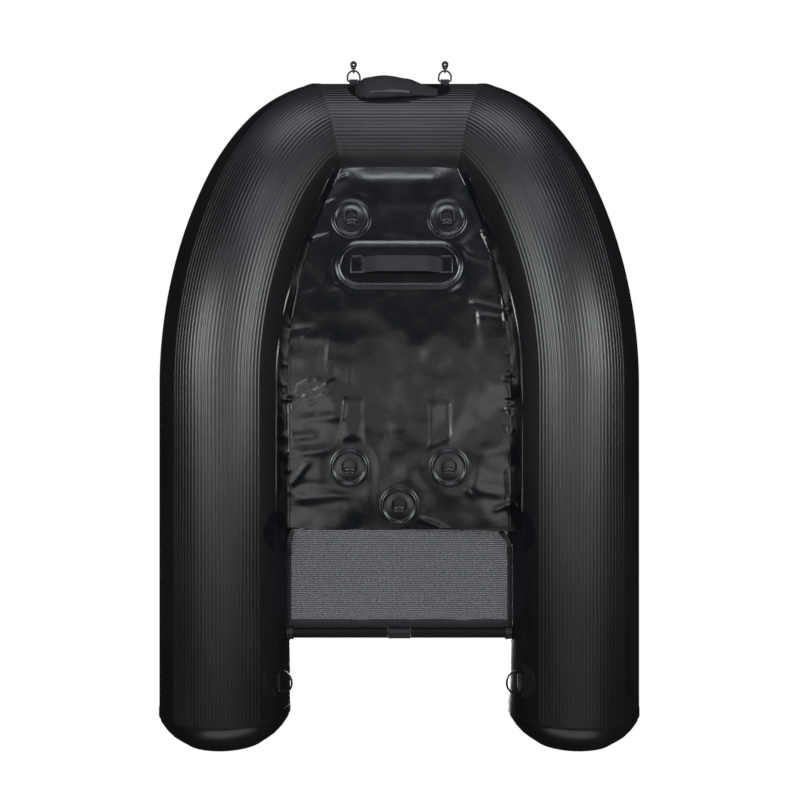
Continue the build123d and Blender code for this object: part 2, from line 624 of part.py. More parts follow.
for name, shape in NODES.items():
    export_step(shape, f"parts/{name}.step")
print(len(NODES), "nodes")
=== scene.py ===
# %% [markdown]
# # Looks of a one-person inflatable fishing boat
# The boat lies on its two pontoons, deck up. +Z is up, +Y points to the closed bow and +X is
# starboard. Everything below is in metres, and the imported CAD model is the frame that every
# new piece is measured from.

# %% Load the frame
import math

import bmesh
import bpy
from mathutils import Matrix, Vector, noise
from mathutils.bvhtree import BVHTree


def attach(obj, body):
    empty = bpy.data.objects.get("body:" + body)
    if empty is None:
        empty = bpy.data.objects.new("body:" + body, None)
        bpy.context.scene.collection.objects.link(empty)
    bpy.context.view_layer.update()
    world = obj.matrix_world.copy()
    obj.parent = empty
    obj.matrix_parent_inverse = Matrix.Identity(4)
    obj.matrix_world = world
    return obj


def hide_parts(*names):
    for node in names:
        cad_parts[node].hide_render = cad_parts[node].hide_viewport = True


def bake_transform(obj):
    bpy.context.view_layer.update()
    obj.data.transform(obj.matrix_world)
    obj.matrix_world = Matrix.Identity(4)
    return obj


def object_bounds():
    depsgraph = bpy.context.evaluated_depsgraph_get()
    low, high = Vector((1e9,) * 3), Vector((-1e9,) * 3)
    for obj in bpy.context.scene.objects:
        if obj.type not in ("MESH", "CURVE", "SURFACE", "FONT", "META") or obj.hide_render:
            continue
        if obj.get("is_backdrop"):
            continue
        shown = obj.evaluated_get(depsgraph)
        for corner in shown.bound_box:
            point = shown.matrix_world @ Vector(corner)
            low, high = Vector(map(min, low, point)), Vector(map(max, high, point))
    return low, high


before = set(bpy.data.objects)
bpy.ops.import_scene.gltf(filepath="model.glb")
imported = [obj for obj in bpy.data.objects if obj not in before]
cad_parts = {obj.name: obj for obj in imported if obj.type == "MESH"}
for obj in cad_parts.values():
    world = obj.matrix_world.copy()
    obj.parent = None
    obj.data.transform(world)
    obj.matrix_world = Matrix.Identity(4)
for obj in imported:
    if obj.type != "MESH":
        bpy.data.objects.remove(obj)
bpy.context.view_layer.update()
scene = bpy.context.scene
FULL_TURN = 2 * math.pi


# %% [markdown]
# ## Shader maths as plain expressions
# A finish is a small formula: roughness is a base value plus a share of some noise, and so on.
# Wiring Math nodes by hand hides that formula. This class wraps one socket, and `+ - *` on it
# add the Math nodes, so that a finish reads as it would be said.

# %% A socket that can be added and multiplied
class Socket:
    """One output of a shader node that takes part in sums on values."""

    def __init__(self, tree, output):
        self.tree, self.output = tree, output

    def math(self, operation, first, second=0.0):
        made = self.tree.node("ShaderNodeMath", {0: first, 1: second}, {"operation": operation})
        return made.out("Value")

    def __add__(self, other): return self.math("ADD", self, other)
    def __radd__(self, other): return self.math("ADD", other, self)
    def __sub__(self, other): return self.math("SUBTRACT", self, other)
    def __rsub__(self, other): return self.math("SUBTRACT", other, self)
    def __mul__(self, other): return self.math("MULTIPLY", self, other)
    def __rmul__(self, other): return self.math("MULTIPLY", other, self)
    def fraction(self): return self.math("FRACT", self)
    def sine(self): return self.math("SINE", self)
    def absolute(self): return self.math("ABSOLUTE", self)
    def above(self, edge): return self.math("GREATER_THAN", self, edge)
    def at_least(self, other): return self.math("MAXIMUM", self, other)

    def ramp(self, low, high):
        """0 at low, 1 at high, with soft ends."""
        made = self.tree.node("ShaderNodeMapRange",
                              {"Value": self, "From Min": low, "From Max": high},
                              {"interpolation_type": "SMOOTHSTEP"})
        return made.out("Result")


class Node:
    """A shader node whose outputs come out as sockets."""

    def __init__(self, tree, made):
        self.tree, self.made = tree, made

    def out(self, name):
        return Socket(self.tree, self.made.outputs[name])


MIX_FACTOR, MIX_A, MIX_B, MIX_RESULT = 0, 6, 7, 2      # a Mix node's sockets for colours


class Tree:
    """A material's or the world's node tree; node() is the one way to add to it."""

    def __init__(self, owner):
        owner.use_nodes = True
        self.tree = owner.node_tree
        self.tree.nodes.clear()

    def node(self, kind, values=None, settings=None):
        made = self.tree.nodes.new(kind)
        for name, value in (settings or {}).items():
            setattr(made, name, value)
        for name, value in (values or {}).items():
            if isinstance(value, Socket):
                self.tree.links.new(value.output, made.inputs[name])
            else:
                made.inputs[name].default_value = value
        return Node(self, made)

    def place(self, name="Object"):
        return self.node("ShaderNodeTexCoord").out(name)

    def axes(self, place):
        made = self.node("ShaderNodeSeparateXYZ", {"Vector": place})
        return made.out("X"), made.out("Y"), made.out("Z")

    def noise(self, place, scale, detail=2.0, stretch=None):
        if stretch:
            place = self.node("ShaderNodeMapping", {"Vector": place, "Scale": stretch})
            place = place.out("Vector")
        return self.node("ShaderNodeTexNoise",
                         {"Vector": place, "Scale": scale, "Detail": detail}).out("Fac")

    def tint(self, mask, dark, light):
        """A colour between two, by a mask from 0 to 1."""
        made = self.node("ShaderNodeMix",
                         {MIX_FACTOR: mask, MIX_A: (*dark, 1.0), MIX_B: (*light, 1.0)},
                         {"data_type": "RGBA"})
        return made.out(MIX_RESULT)

    def bump(self, height, depth, strength=1.0):
        return self.node("ShaderNodeBump",
                         {"Height": height, "Distance": depth, "Strength": strength}).out("Normal")

    def surface(self, **values):
        shader = self.node("ShaderNodeBsdfPrincipled",
                           {name.replace("_", " "): value for name, value in values.items()})
        self.node("ShaderNodeOutputMaterial", {"Surface": shader.out("BSDF")})


# %% [markdown]
# ## Studio
# The main view looks straight at the underside, so the camera lies below the boat and looks
# up, with the bow at the top. A real floor would be in the way. This one is painted on its
# upper face only: seen from below it is clear, and from above it is a plain pale floor. It is
# left out of reflections, so that the black skin mirrors the same studio from every side.

# %% Camera straight below the hull
CAMERA_PLACE = (-0.0018, -0.010, -2.5)
LENS_MM = 47.7
SENSOR_MM = 36.0

camera_data = bpy.data.cameras.new("camera")
camera_data.lens = LENS_MM
camera_data.sensor_width = SENSOR_MM
camera = bpy.data.objects.new("camera", camera_data)
camera.location = CAMERA_PLACE
camera.rotation_euler = (0.0, math.pi, 0.0)
scene.collection.objects.link(camera)
scene.camera = camera
scene.view_settings.view_transform = "Standard"
print("camera at", [round(v, 3) for v in camera.location])

# %% Floor with one painted face
FLOOR_HALF = 9.0
FLOOR_GREY = (0.34, 0.34, 0.34, 1.0)
FLOOR_GLOW = 0.72             # what the camera sees beside the lit paint
WHITE = (1.0, 1.0, 1.0, 1.0)


def floor():
    made = bmesh.new()
    bmesh.ops.create_grid(made, x_segments=1, y_segments=1, size=FLOOR_HALF)
    mesh = bpy.data.meshes.new("floor")
    made.to_mesh(mesh)
    made.free()
    plane = bpy.data.objects.new("floor", mesh)
    scene.collection.objects.link(plane)
    paint = bpy.data.materials.new("floor_paint")
    tree = Tree(paint)
    matt = tree.node("ShaderNodeBsdfDiffuse", {"Color": FLOOR_GREY})
    pale = tree.node("ShaderNodeEmission", {"Color": WHITE, "Strength": FLOOR_GLOW})
    upper = tree.node("ShaderNodeAddShader", {0: matt.out("BSDF"), 1: pale.out("Emission")})
    seen = tree.node("ShaderNodeLightPath").out("Is Camera Ray")
    lit = tree.node("ShaderNodeMixShader",
                    {0: seen, 1: matt.out("BSDF"), 2: upper.out("Shader")})
    clear = tree.node("ShaderNodeBsdfTransparent")
    back = tree.node("ShaderNodeNewGeometry").out("Backfacing")
    either = tree.node("ShaderNodeMixShader",
                       {0: back, 1: lit.out("Shader"), 2: clear.out("BSDF")})
    tree.node("ShaderNodeOutputMaterial", {"Surface": either.out("Shader")})
    mesh.materials.append(paint)
    plane.visible_shadow = False
    plane.visible_glossy = False
    plane.visible_diffuse = False
    plane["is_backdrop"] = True


floor()
print("floor", 2 * FLOOR_HALF, "m square")

# %% [markdown]
# Black gloss shows its lamps and little else, so each lamp stands where its reflection is
# wanted. Two beside the camera draw the bright lines along the ribs. A low one past the bow
# and a small one before it give the bow its cold light and the sheet its bright front edge.
# Three faint ones close to the camera show the slack of the sheet, one fills the stern, and
# two high above light the deck.

# %% World and lamps
WORLD_LEVEL = 0.04            # what lights the boat from all round
MIRRORED_LEVEL = 0.015        # what its gloss mirrors where no lamp is
COOL, COLD, BLUE = (0.95, 0.98, 1.0), (0.86, 0.89, 1.0), (0.93, 0.97, 1.0)
LAMPS = (                     # name, place, point that it is turned to, size, watts, colour
    ("under_port", (-1.6, 0.50, -2.1), (-0.3, 0.2, 0.1), (0.9, 1.3), 45, COOL),
    ("under_starboard", (1.6, 0.50, -2.1), (0.3, 0.2, 0.1), (0.9, 1.3), 45, COOL),
    ("under_bow", (0.0, 2.6, -0.95), (0, 0.7, 0.2), (1.7, 0.6), 20, COLD),
    ("under_edge", (0.0, 1.65, -2.05), (0, 0.55, 0.15), (0.9, 0.20), 8.5, COLD),
    ("under_middle", (0.0, 0.04, -2.8), (0, 0.0, 0.1), (1.4, 0.9), 2.8, (0.97, 1.0, 0.97)),
    ("under_left", (0.95, -0.40, -2.8), (0.1, -0.2, 0.1), (0.8, 1.2), 5.0, BLUE),
    ("under_right", (-0.95, -0.40, -2.8), (-0.1, -0.2, 0.1), (0.8, 1.2), 5.0, BLUE),
    ("under_stern", (0.0, -2.6, -1.1), (0, -0.7, 0.1), (2.8, 1.6), 18, (0.97, 1.0, 0.98)),
    ("over_key", (0.5, -0.7, 3.2), (0, 0, 0.3), (1.4, 1.4), 130, (1.0, 1.0, 1.0)),
    ("over_fill", (-0.6, 0.6, 3.2), (0, 0, 0.3), (1.4, 1.4), 70, (1.0, 1.0, 1.0)))


def sky():
    world = bpy.data.worlds.new("studio")
    scene.world = world
    tree = Tree(world)
    rays = tree.node("ShaderNodeLightPath")
    seen = rays.out("Is Camera Ray").at_least(rays.out("Is Transmission Ray"))
    mirrored = rays.out("Is Glossy Ray")
    level = WORLD_LEVEL + (MIRRORED_LEVEL - WORLD_LEVEL) * mirrored
    level = level + (1.0 - level) * seen
    back = tree.node("ShaderNodeBackground", {"Color": WHITE, "Strength": level})
    tree.node("ShaderNodeOutputWorld", {"Surface": back.out("Background")})


def lamp(name, place, aim, size, power, colour):
    """A rectangular soft lamp at a place, turned to a point."""
    data = bpy.data.lights.new(name, "AREA")
    data.shape = "RECTANGLE"
    data.size, data.size_y = size
    data.energy = power
    data.color = colour
    made = bpy.data.objects.new(name, data)
    made.location = place
    made.rotation_euler = (Vector(aim) - Vector(place)).to_track_quat("-Z", "Y").to_euler()
    made.visible_camera = False
    scene.collection.objects.link(made)


sky()
for one in LAMPS:
    lamp(*one)
print("lamps", len(bpy.data.lights))


# %% [markdown]
# ## Finishes
# Nearly everything on the boat is black, and black things are told apart by their gloss. The
# coated fabric of the tubes is satin, the belly panel is the same sheet in a glossier coat, the
# moulded pads are glossier still, and webbing hardly shines at all. So each finish has its own
# roughness, grain and bump, and the colours stay close together.

# %% Coated fabrics
FINISHES = {}
CLOTH_PITCH = 0.0016          # from one thread of the coated cloth to the next


def finish(name):
    """A new material under its name, as a tree to fill."""
    made = bpy.data.materials.new(name)
    FINISHES[name] = made
    return Tree(made)


def scrim(tree, place):
    """The fine square imprint of the cloth inside a coated sheet, from 0 to 1."""
    x, y, z = tree.axes(place)
    turn = FULL_TURN / CLOTH_PITCH
    across = ((x + z) * turn).sine()
    along = ((y + 0.35 * (x - z)) * turn).sine()
    return (across * along) * 0.5 + 0.5


def tube_skin():
    """Satin coated fabric of the inflated tubes: cloth imprint, soft dents, handling marks."""
    tree = finish("tube_skin")
    place = tree.place()
    dents = tree.noise(place, 5.0, 3.0)
    marks = tree.noise(place, 38.0, 6.0)
    grain = tree.noise(place, 900.0, 2.0)
    smears = tree.noise(place, 2.6, 4.0, stretch=(3.0, 1.0, 3.0))
    imprint = scrim(tree, place)
    height = dents * 0.9 + marks * 0.10 + grain * 0.02 + imprint * 0.02
    tree.surface(Base_Color=tree.tint(smears.ramp(0.35, 0.7), (0.0050, 0.0050, 0.0062),
                                      (0.0090, 0.0090, 0.0105)),
                 Roughness=0.22 + 0.10 * marks + 0.06 * smears,
                 Specular_IOR_Level=0.45,
                 Normal=tree.bump(height, 0.002, 0.5))


def strake_skin():
    """Ribbed rubbing strake: a harder satin coat, dulled a little where it touches ground."""
    tree = finish("strake_skin")
    place = tree.place()
    _, _, z = tree.axes(place)
    rubbed = 1.0 - z.ramp(0.0, 0.012)
    marks = tree.noise(place, 60.0, 5.0, stretch=(3.0, 0.6, 3.0))
    smears = tree.noise(place, 3.2, 4.0, stretch=(3.0, 1.0, 3.0))
    scuffs = tree.noise(place, 240.0, 4.0, stretch=(4.0, 0.5, 4.0)).ramp(0.55, 0.7) * rubbed
    tree.surface(Base_Color=tree.tint(smears.ramp(0.3, 0.7) * 0.6 + scuffs * 0.4,
                                      (0.0060, 0.0063, 0.0072), (0.013, 0.0135, 0.0145)),
                 Roughness=0.27 + 0.10 * marks + 0.06 * rubbed,
                 Specular_IOR_Level=0.5,
                 Normal=tree.bump(marks, 0.0002, 0.3))


def panel_gloss():
    """Glossy coat of the belly panel and of the patches welded to it."""
    tree = finish("panel_gloss")
    place = tree.place()
    haze = tree.noise(place, 9.0, 4.0, stretch=(1.0, 0.7, 1.0))
    dust = tree.noise(place, 420.0, 3.0).ramp(0.62, 0.74)
    skin = tree.noise(place, 70.0, 3.0)
    tree.surface(Base_Color=tree.tint(dust * 0.5, (0.0036, 0.0044, 0.0054), (0.02, 0.02, 0.02)),
                 Roughness=0.11 + 0.16 * haze + 0.1 * dust,
                 Specular_IOR_Level=0.5,
                 Normal=tree.bump(skin, 0.0006, 0.35))


tube_skin()
strake_skin()
panel_gloss()
print("finishes", sorted(FINISHES))

# %% [markdown]
# ## The buoyancy tube
# A pontoon is one straight length of tube and three gores, each a little more curved, that turn
# inwards and up to meet the bow tube at a mitred seam. The bends lie in one tilted plane, which
# is what lifts the bow. A round section is drawn once, extruded along the straight, spun round
# the centre of each bend, and cut by the plane of the seam. Spinning gives even rings of faces,
# so highlights run smoothly round the bow.

# %% The run of the starboard tube
TUBE_R = 0.162
TUBE_X = 0.437
STRAKE_H = 0.0028
AXIS_Z = TUBE_R + STRAKE_H
BEND_START_Y = 0.025
BENDS = ((1.044, math.radians(25.7)), (0.497, math.radians(16.5)), (0.235, math.radians(25.8)))
SHEER_TILT = math.radians(30.0)
CAP_SEAM_Y = -0.788
INWARD_UP = Vector((-math.cos(SHEER_TILT), 0.0, math.sin(SHEER_TILT)))
BEND_NORMAL = Vector((math.sin(SHEER_TILT), 0.0, math.cos(SHEER_TILT)))
BOTTOM = -math.pi / 2 - SHEER_TILT     # the tube's lowest line, as an angle from INWARD_UP
STEP = 0.012                           # length of a face along a bend's centre line
SIDES = ((1, "starboard"), (-1, "port"))


def shaped(made, name, finish_name, side=1):
    """Turn a bmesh into an object. Everything is drawn to starboard and mirrored for port."""
    if side < 0:
        bmesh.ops.scale(made, vec=(-1.0, 1.0, 1.0), verts=made.verts)
        bmesh.ops.reverse_faces(made, faces=made.faces)
    mesh = bpy.data.meshes.new(name)
    for face in made.faces:
        face.smooth = True
    made.to_mesh(mesh)
    made.free()
    thing = bpy.data.objects.new(name, mesh)
    scene.collection.objects.link(thing)
    mesh.materials.append(FINISHES[finish_name])
    return thing


def piece(made, name, finish_name, side=1, body="hull"):
    """An object that rides on a body."""
    thing = shaped(made, name, finish_name, side)
    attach(thing, body)
    return thing


def section_point(radius, angle, y):
    """A point of the pontoon's section; angle 0 points inwards and up."""
    return Vector((TUBE_X, y, AXIS_Z)) + radius * (INWARD_UP * math.cos(angle)
                                                   + BEND_NORMAL * math.sin(angle))


def draw_section(made, points, closed=True):
    """Points joined by edges, as one list of both."""
    verts = [made.verts.new(point) for point in points]
    pairs = list(zip(verts, verts[1:])) + ([(verts[-1], verts[0])] if closed else [])
    return verts + [made.edges.new(pair) for pair in pairs]


def only(kind, geometry):
    return [part for part in geometry if isinstance(part, kind)]


def extruded(made, front, move):
    """Draw the edges of a front out by a vector and return the new front."""
    front = bmesh.ops.extrude_edge_only(made, edges=only(bmesh.types.BMEdge, front))["geom"]
    bmesh.ops.translate(made, verts=only(bmesh.types.BMVert, front), vec=move)
    return front


def run_along(made, section, start_y, straight_steps):
    """Extrude the section along the straight, spin it through the bends and add a tail that
    reaches past the seam."""
    front = section
    for _ in range(straight_steps):
        front = extruded(made, front, (0.0, (BEND_START_Y - start_y) / straight_steps, 0.0))
    centre = Vector((TUBE_X, BEND_START_Y, AXIS_Z))
    inward, forward = INWARD_UP.copy(), Vector((0.0, 1.0, 0.0))
    for radius, turn in BENDS:
        hub = centre + inward * radius
        steps = max(4, round(radius * turn / STEP))
        front = bmesh.ops.spin(made, geom=only((bmesh.types.BMEdge, bmesh.types.BMVert), front),
                               cent=hub, axis=-BEND_NORMAL, angle=-turn, steps=steps,
                               use_duplicate=False)["geom_last"]
        swing = Matrix.Rotation(turn, 3, BEND_NORMAL)
        centre = hub + swing @ (centre - hub)
        inward, forward = swing @ inward, swing @ forward
    extruded(made, front, forward * (2 * TUBE_R))
    return centre, forward


trial = bmesh.new()           # a single line sent along the run says where the seam lies
line = draw_section(trial, [section_point(TUBE_R, angle, 0.0) for angle in (0.0, 0.1)],
                    closed=False)
SEAM, SEAM_FORWARD = run_along(trial, line, 0.0, 1)
trial.free()
MITRE = (SEAM_FORWARD - Vector((1.0, 0.0, 0.0))).normalized()
print("bow seam at", [round(v, 4) for v in SEAM])

# %% [markdown]
# A pontoon and its tip cap are one closed skin. The cap is the rear ring of the tube, drawn
# back a little at a time and narrowed at each step, which is how the real truncated cone bulges
# under pressure. The bow tube is a plain run between the two seams, cut by both planes.

# %% Pontoons and bow tube
ROUND = 96                    # faces round a tube
STRAIGHT_STEPS = 12           # faces along the straight of a pontoon
BOW_STEPS = 24                # faces along the bow tube
CAP_RINGS = ((0.014, 0.1585), (0.032, 0.1465), (0.048, 0.1320), (0.060, 0.1160),
             (0.068, 0.1040), (0.0735, 0.0965), (0.0765, 0.0880), (0.0770, 0.0790))
WHOLE_TURN = [FULL_TURN * step / ROUND for step in range(ROUND)]
SHARP = math.radians(32.0)


def sharpen(made):
    """Mark the edges that turn more than SHARP, so that smooth shading stops at them."""
    for edge in made.edges:
        if len(edge.link_faces) == 2 and edge.calc_face_angle() > SHARP:
            edge.smooth = False


def cut(made, point, normal, keep_front):
    """Cut by a plane and keep what lies in front of it, or behind it."""
    bmesh.ops.bisect_plane(made, geom=made.verts[:] + made.edges[:] + made.faces[:],
                           plane_co=point, plane_no=normal, clear_inner=keep_front,
                           clear_outer=not keep_front)


def shut(made):
    """Close the open ends and turn every face outwards."""
    bmesh.ops.holes_fill(made, edges=[edge for edge in made.edges if edge.is_boundary])
    bmesh.ops.recalc_face_normals(made, faces=made.faces)
    sharpen(made)


def section_frame(y):
    """Matrix whose x and y axes are those of the pontoon's section, at a place along it."""
    turn = Matrix((INWARD_UP, BEND_NORMAL, (0.0, 1.0, 0.0))).transposed()
    return Matrix.Translation((TUBE_X, y, AXIS_Z)) @ turn.to_4x4()


def pontoon():
    made = bmesh.new()
    bmesh.ops.create_circle(made, segments=ROUND, radius=TUBE_R, matrix=section_frame(CAP_SEAM_Y))
    rear = made.edges[:]
    run_along(made, made.verts[:] + made.edges[:], CAP_SEAM_Y, STRAIGHT_STEPS)
    reached, wide = 0.0, TUBE_R
    for back, radius in CAP_RINGS:
        rear = extruded(made, rear, (0.0, reached - back, 0.0))
        bmesh.ops.scale(made, verts=only(bmesh.types.BMVert, rear),
                        vec=(radius / wide, 1.0, radius / wide),
                        space=Matrix.Translation((-TUBE_X, 0.0, -AXIS_Z)))
        reached, wide = back, radius
    cut(made, SEAM, MITRE, keep_front=False)
    shut(made)
    return made


def bow_run(radius_points):
    """A section drawn round the bow's axis and cut at both seams. The points are radius and
    angle, and angle 0 points forward."""
    made = bmesh.new()
    reach = SEAM.x + 2 * TUBE_R
    points = [Vector((-reach, SEAM.y + radius * math.cos(angle), SEAM.z + radius * math.sin(angle)))
              for radius, angle in radius_points]
    front = draw_section(made, points)
    for _ in range(BOW_STEPS):
        front = extruded(made, front, (2 * reach / BOW_STEPS, 0.0, 0.0))
    cut(made, SEAM, MITRE, keep_front=True)
    cut(made, Vector((-SEAM.x, SEAM.y, SEAM.z)), Vector((-MITRE.x, MITRE.y, MITRE.z)),
        keep_front=True)
    return made


for side, name in SIDES:
    skin = piece(pontoon(), name + "_pontoon_skin", "tube_skin", side)
    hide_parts(name + "_tube", name + "_tip_cap")
made = bow_run([(TUBE_R, angle) for angle in WHOLE_TURN])
shut(made)
skin = piece(made, "bow_skin", "tube_skin")
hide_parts("bow_tube")

# %% [markdown]
# ## Ribbed strakes
# The tube wears a ribbed rubber-like band where it touches the ground. The ribs run the whole
# way along the tube, so a band is one profile carried along the same path. Each rib is a low
# rounded hump with a groove beside it, and every point of it is real geometry: the fine light
# and dark lines along the boat are reflections in these humps. At the bow the ribs of both bands
# end in the plane of the seam, in a row of small teeth.

# %% Rib profile and strakes
STRAKE_HALF = math.radians(40.0)
STRAKE_VALLEY_H = 0.0016
STRAKE_RIBS = 25
STRAKE_START_Y = -0.785
STRAKE_STEPS = 8              # faces along the straight of a strake
SKIN_GAP = 0.0003
RIB_SHAPE = ((0.0, 0.0), (0.09, 0.0), (0.13, 0.58), (0.18, 0.72), (0.27, 0.84), (0.38, 0.95),
             (0.50, 1.0), (0.62, 0.95), (0.73, 0.84), (0.82, 0.72), (0.87, 0.58), (0.91, 0.0))


def ribbed_profile(centre):
    """Radius and angle of each point of a strake's section: the ribs, then the glued face."""
    pitch = 2 * STRAKE_HALF / STRAKE_RIBS
    first = centre - STRAKE_HALF
    rise = STRAKE_H - STRAKE_VALLEY_H
    valley = TUBE_R + STRAKE_VALLEY_H
    points = [(TUBE_R + SKIN_GAP, first)]
    for rib in range(STRAKE_RIBS):
        points += [(valley + rise * height, first + pitch * (rib + share))
                   for share, height in RIB_SHAPE]
    points.append((valley, first + 2 * STRAKE_HALF))
    points += [(TUBE_R + SKIN_GAP, first + pitch * rib) for rib in range(STRAKE_RIBS, 0, -1)]
    return points


def side_strake():
    made = bmesh.new()
    points = [section_point(radius, angle, STRAKE_START_Y)
              for radius, angle in ribbed_profile(BOTTOM)]
    run_along(made, draw_section(made, points), STRAKE_START_Y, STRAKE_STEPS)
    cut(made, SEAM, MITRE, keep_front=False)
    shut(made)
    return made


def bow_strake_angle():
    """Where the seam's plane carries the middle of a side strake to, round the bow's axis."""
    total = sum(turn for _, turn in BENDS)
    across = Vector((0.0, -1.0, 0.0)) * math.sin(total) + INWARD_UP * math.cos(total)
    middle = across * math.cos(BOTTOM) + BEND_NORMAL * math.sin(BOTTOM)
    landed = middle - MITRE * (2 * middle.dot(MITRE))
    return math.atan2(landed.z, landed.y)


for side, name in SIDES:
    band = piece(side_strake(), name + "_ribbed_strake", "strake_skin", side)
    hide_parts(name + "_strake")
made = bow_run(ribbed_profile(bow_strake_angle()))
shut(made)
band = piece(made, "bow_ribbed_strake", "strake_skin")
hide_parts("bow_strake")
print("bow strake is centred at", round(math.degrees(bow_strake_angle()), 1), "degrees")

# %% [markdown]
# ## Belly panel
# The panel is one sheet of glossy coated cloth, glued to the insides of the tubes. Its edge
# turns down along each pontoon as a flange, and at the bow it bulges a little and rolls up
# against the bow tube. A flat sheet cut to that outline is laid out first, with its flange as
# part of it and one row of points along the line where sheet and tube meet. Every point beyond
# that line is then wound round the tube by the distance that it lies beyond, so the flange
# keeps its real width everywhere and the crease stays sharp. A round or two of smoothing
# takes the edge off the crease, as the stretch of the cloth does.

# %% The line where panel and tubes meet
PANEL_Z = 0.135
PANEL_BOW_Z = 0.163
PANEL_REAR_Y = -0.333
PANEL_FLAT_Y = 0.128
PANEL_BOW_Y = 0.608
PANEL_LEAD = 0.058            # half the length of the bend where the panel starts to rise
BOW_MEETING = 0.084           # how far behind the bow tube's axis the panel meets it


def panel_height(y):
    """Height of the panel's lower face."""
    slope = (PANEL_BOW_Z - PANEL_Z) / (PANEL_BOW_Y - PANEL_FLAT_Y)
    past = y - PANEL_FLAT_Y
    if abs(past) < PANEL_LEAD:
        return PANEL_Z + slope * (past + PANEL_LEAD) ** 2 / (4 * PANEL_LEAD)
    return PANEL_Z + slope * max(past, 0.0)


def tube_stations():
    """Middle of the starboard tube, its direction and its inward axis, every few millimetres."""
    centre, inward, forward = Vector((TUBE_X, PANEL_REAR_Y, AXIS_Z)), INWARD_UP, Vector((0, 1, 0))
    found = [(centre, forward, inward)]
    centre = Vector((TUBE_X, BEND_START_Y, AXIS_Z))
    found.append((centre, forward, inward))
    for radius, turn in BENDS:
        hub = centre + inward * radius
        steps = round(radius * turn / STEP)
        for step in range(1, steps + 1):
            swing = Matrix.Rotation(turn * step / steps, 3, BEND_NORMAL)
            found.append((hub + swing @ (centre - hub), swing @ forward, swing @ inward))
        centre, forward, inward = found[-1]
    return found


def on_section(centre, inward, angle, radius=TUBE_R):
    """A point of a tube's section, at an angle from its lowest line towards the inside."""
    turn = BOTTOM + angle
    return centre + radius * (inward * math.cos(turn) + BEND_NORMAL * math.sin(turn))


def meeting_angle(centre, inward):
    """The angle at which a section of the tube meets the panel, found by halving."""
    low, high = math.radians(-20.0), math.radians(110.0)
    for _ in range(30):
        middle = (low + high) / 2
        point = on_section(centre, inward, middle)
        if point.z < panel_height(point.y):
            low = middle
        else:
            high = middle
    return low


MEETING = []                  # point, middle of the tube, direction of the tube
for centre, forward, inward in tube_stations():
    point = on_section(centre, inward, meeting_angle(centre, inward))
    if (point - SEAM).dot(MITRE) < 0.0:
        MEETING.append((point, centre, forward))
bow_z = panel_height(SEAM.y - BOW_MEETING)
bow_y = SEAM.y - math.sqrt(TUBE_R ** 2 - (SEAM.z - bow_z) ** 2)
corner = Vector((SEAM.x - (MITRE.y * (bow_y - SEAM.y) + MITRE.z * (bow_z - SEAM.z)) / MITRE.x,
                 bow_y, bow_z))
MEETING.append((corner, MEETING[-1][1], MEETING[-1][2]))
print("panel meets the bow at y", round(bow_y, 3), "and its corner is at x", round(corner.x, 3))

# %% Cut, wound and smoothed sheet
FLANGE_REAR = 0.063           # width of the flange along the straight pontoon
FLANGE_BOW = 0.024
FLANGE_NARROWS = 0.02         # y where it starts to narrow towards the bow
BOW_ROLL = 0.012              # how far the sheet runs up the bow tube
SHEET_ACROSS = 168
SHEET_ALONG = 262
SHEET_T = 0.0014
GLUED = 0.0006                # the glued sheet lies this far off the tube's skin
PANEL_COLUMNS = 66 / 84       # share of the columns that lie on the panel, not the flange
HEM_COLUMN = 17 / 18          # of the flange's columns, the last one before its edge
RELAX_ROUNDS = 2
ROLL_ROUNDS = 12
ROLL_STRIP = 0.040            # the strip that is smoothed more, before the bow tube
RELAX_STRIP = 0.012           # the smoothed strip, either side of the meeting line
EDGE_TAPER = 0.0012           # how far the free edge of the flange is pressed down
EDGE_FACE = 0.0026            # width of the slope that this leaves along the edge
HEM_SHARE = (0.985, 0.995)    # of half the columns: the one that carries the hem's bead
PLAIN_X = 0.12                # nearer to the middle than this, nothing is wound


def between(value, low, high):
    """0 at low, 1 at high, smooth between them."""
    share = min(max((value - low) / (high - low), 0.0), 1.0)
    return share * share * (3 - 2 * share)


def outline():
    """Half the width of the flat cut, flange included, against y."""
    edge = []
    for (here, _, _), (there, _, _) in zip(MEETING, MEETING[1:]):
        along = (there - here).to_2d().normalized()
        wide = FLANGE_REAR + (FLANGE_BOW - FLANGE_REAR) * between(here.y, FLANGE_NARROWS, bow_y)
        out = Vector((along.y, -along.x)) * wide
        edge.append(here.to_2d() + out)
        edge.append(there.to_2d() + out)
    return edge


EDGE = outline()
CREASE = [point.to_2d() for point, _, _ in MEETING]


def width_at(line, y):
    """x of a line of points at a place along the boat."""
    for here, there in zip(line, line[1:]):
        if here.y <= y <= there.y and there.y > here.y:
            return here.x + (there.x - here.x) * (y - here.y) / (there.y - here.y)
    return line[-1].x


def cut_x(share, y):
    """x on the flat cut for a share from -1 to 1 of its columns, the crease on one of them."""
    inner, outer = width_at(CREASE, y), width_at(EDGE, y)
    past = (abs(share) - PANEL_COLUMNS) / (1 - PANEL_COLUMNS) / HEM_COLUMN
    if past > 1.01:
        return math.copysign(outer, share)
    wide = inner * abs(share) / PANEL_COLUMNS
    if past > 0.0:
        wide = inner + (outer - EDGE_FACE - inner) * past
    return math.copysign(wide, share)


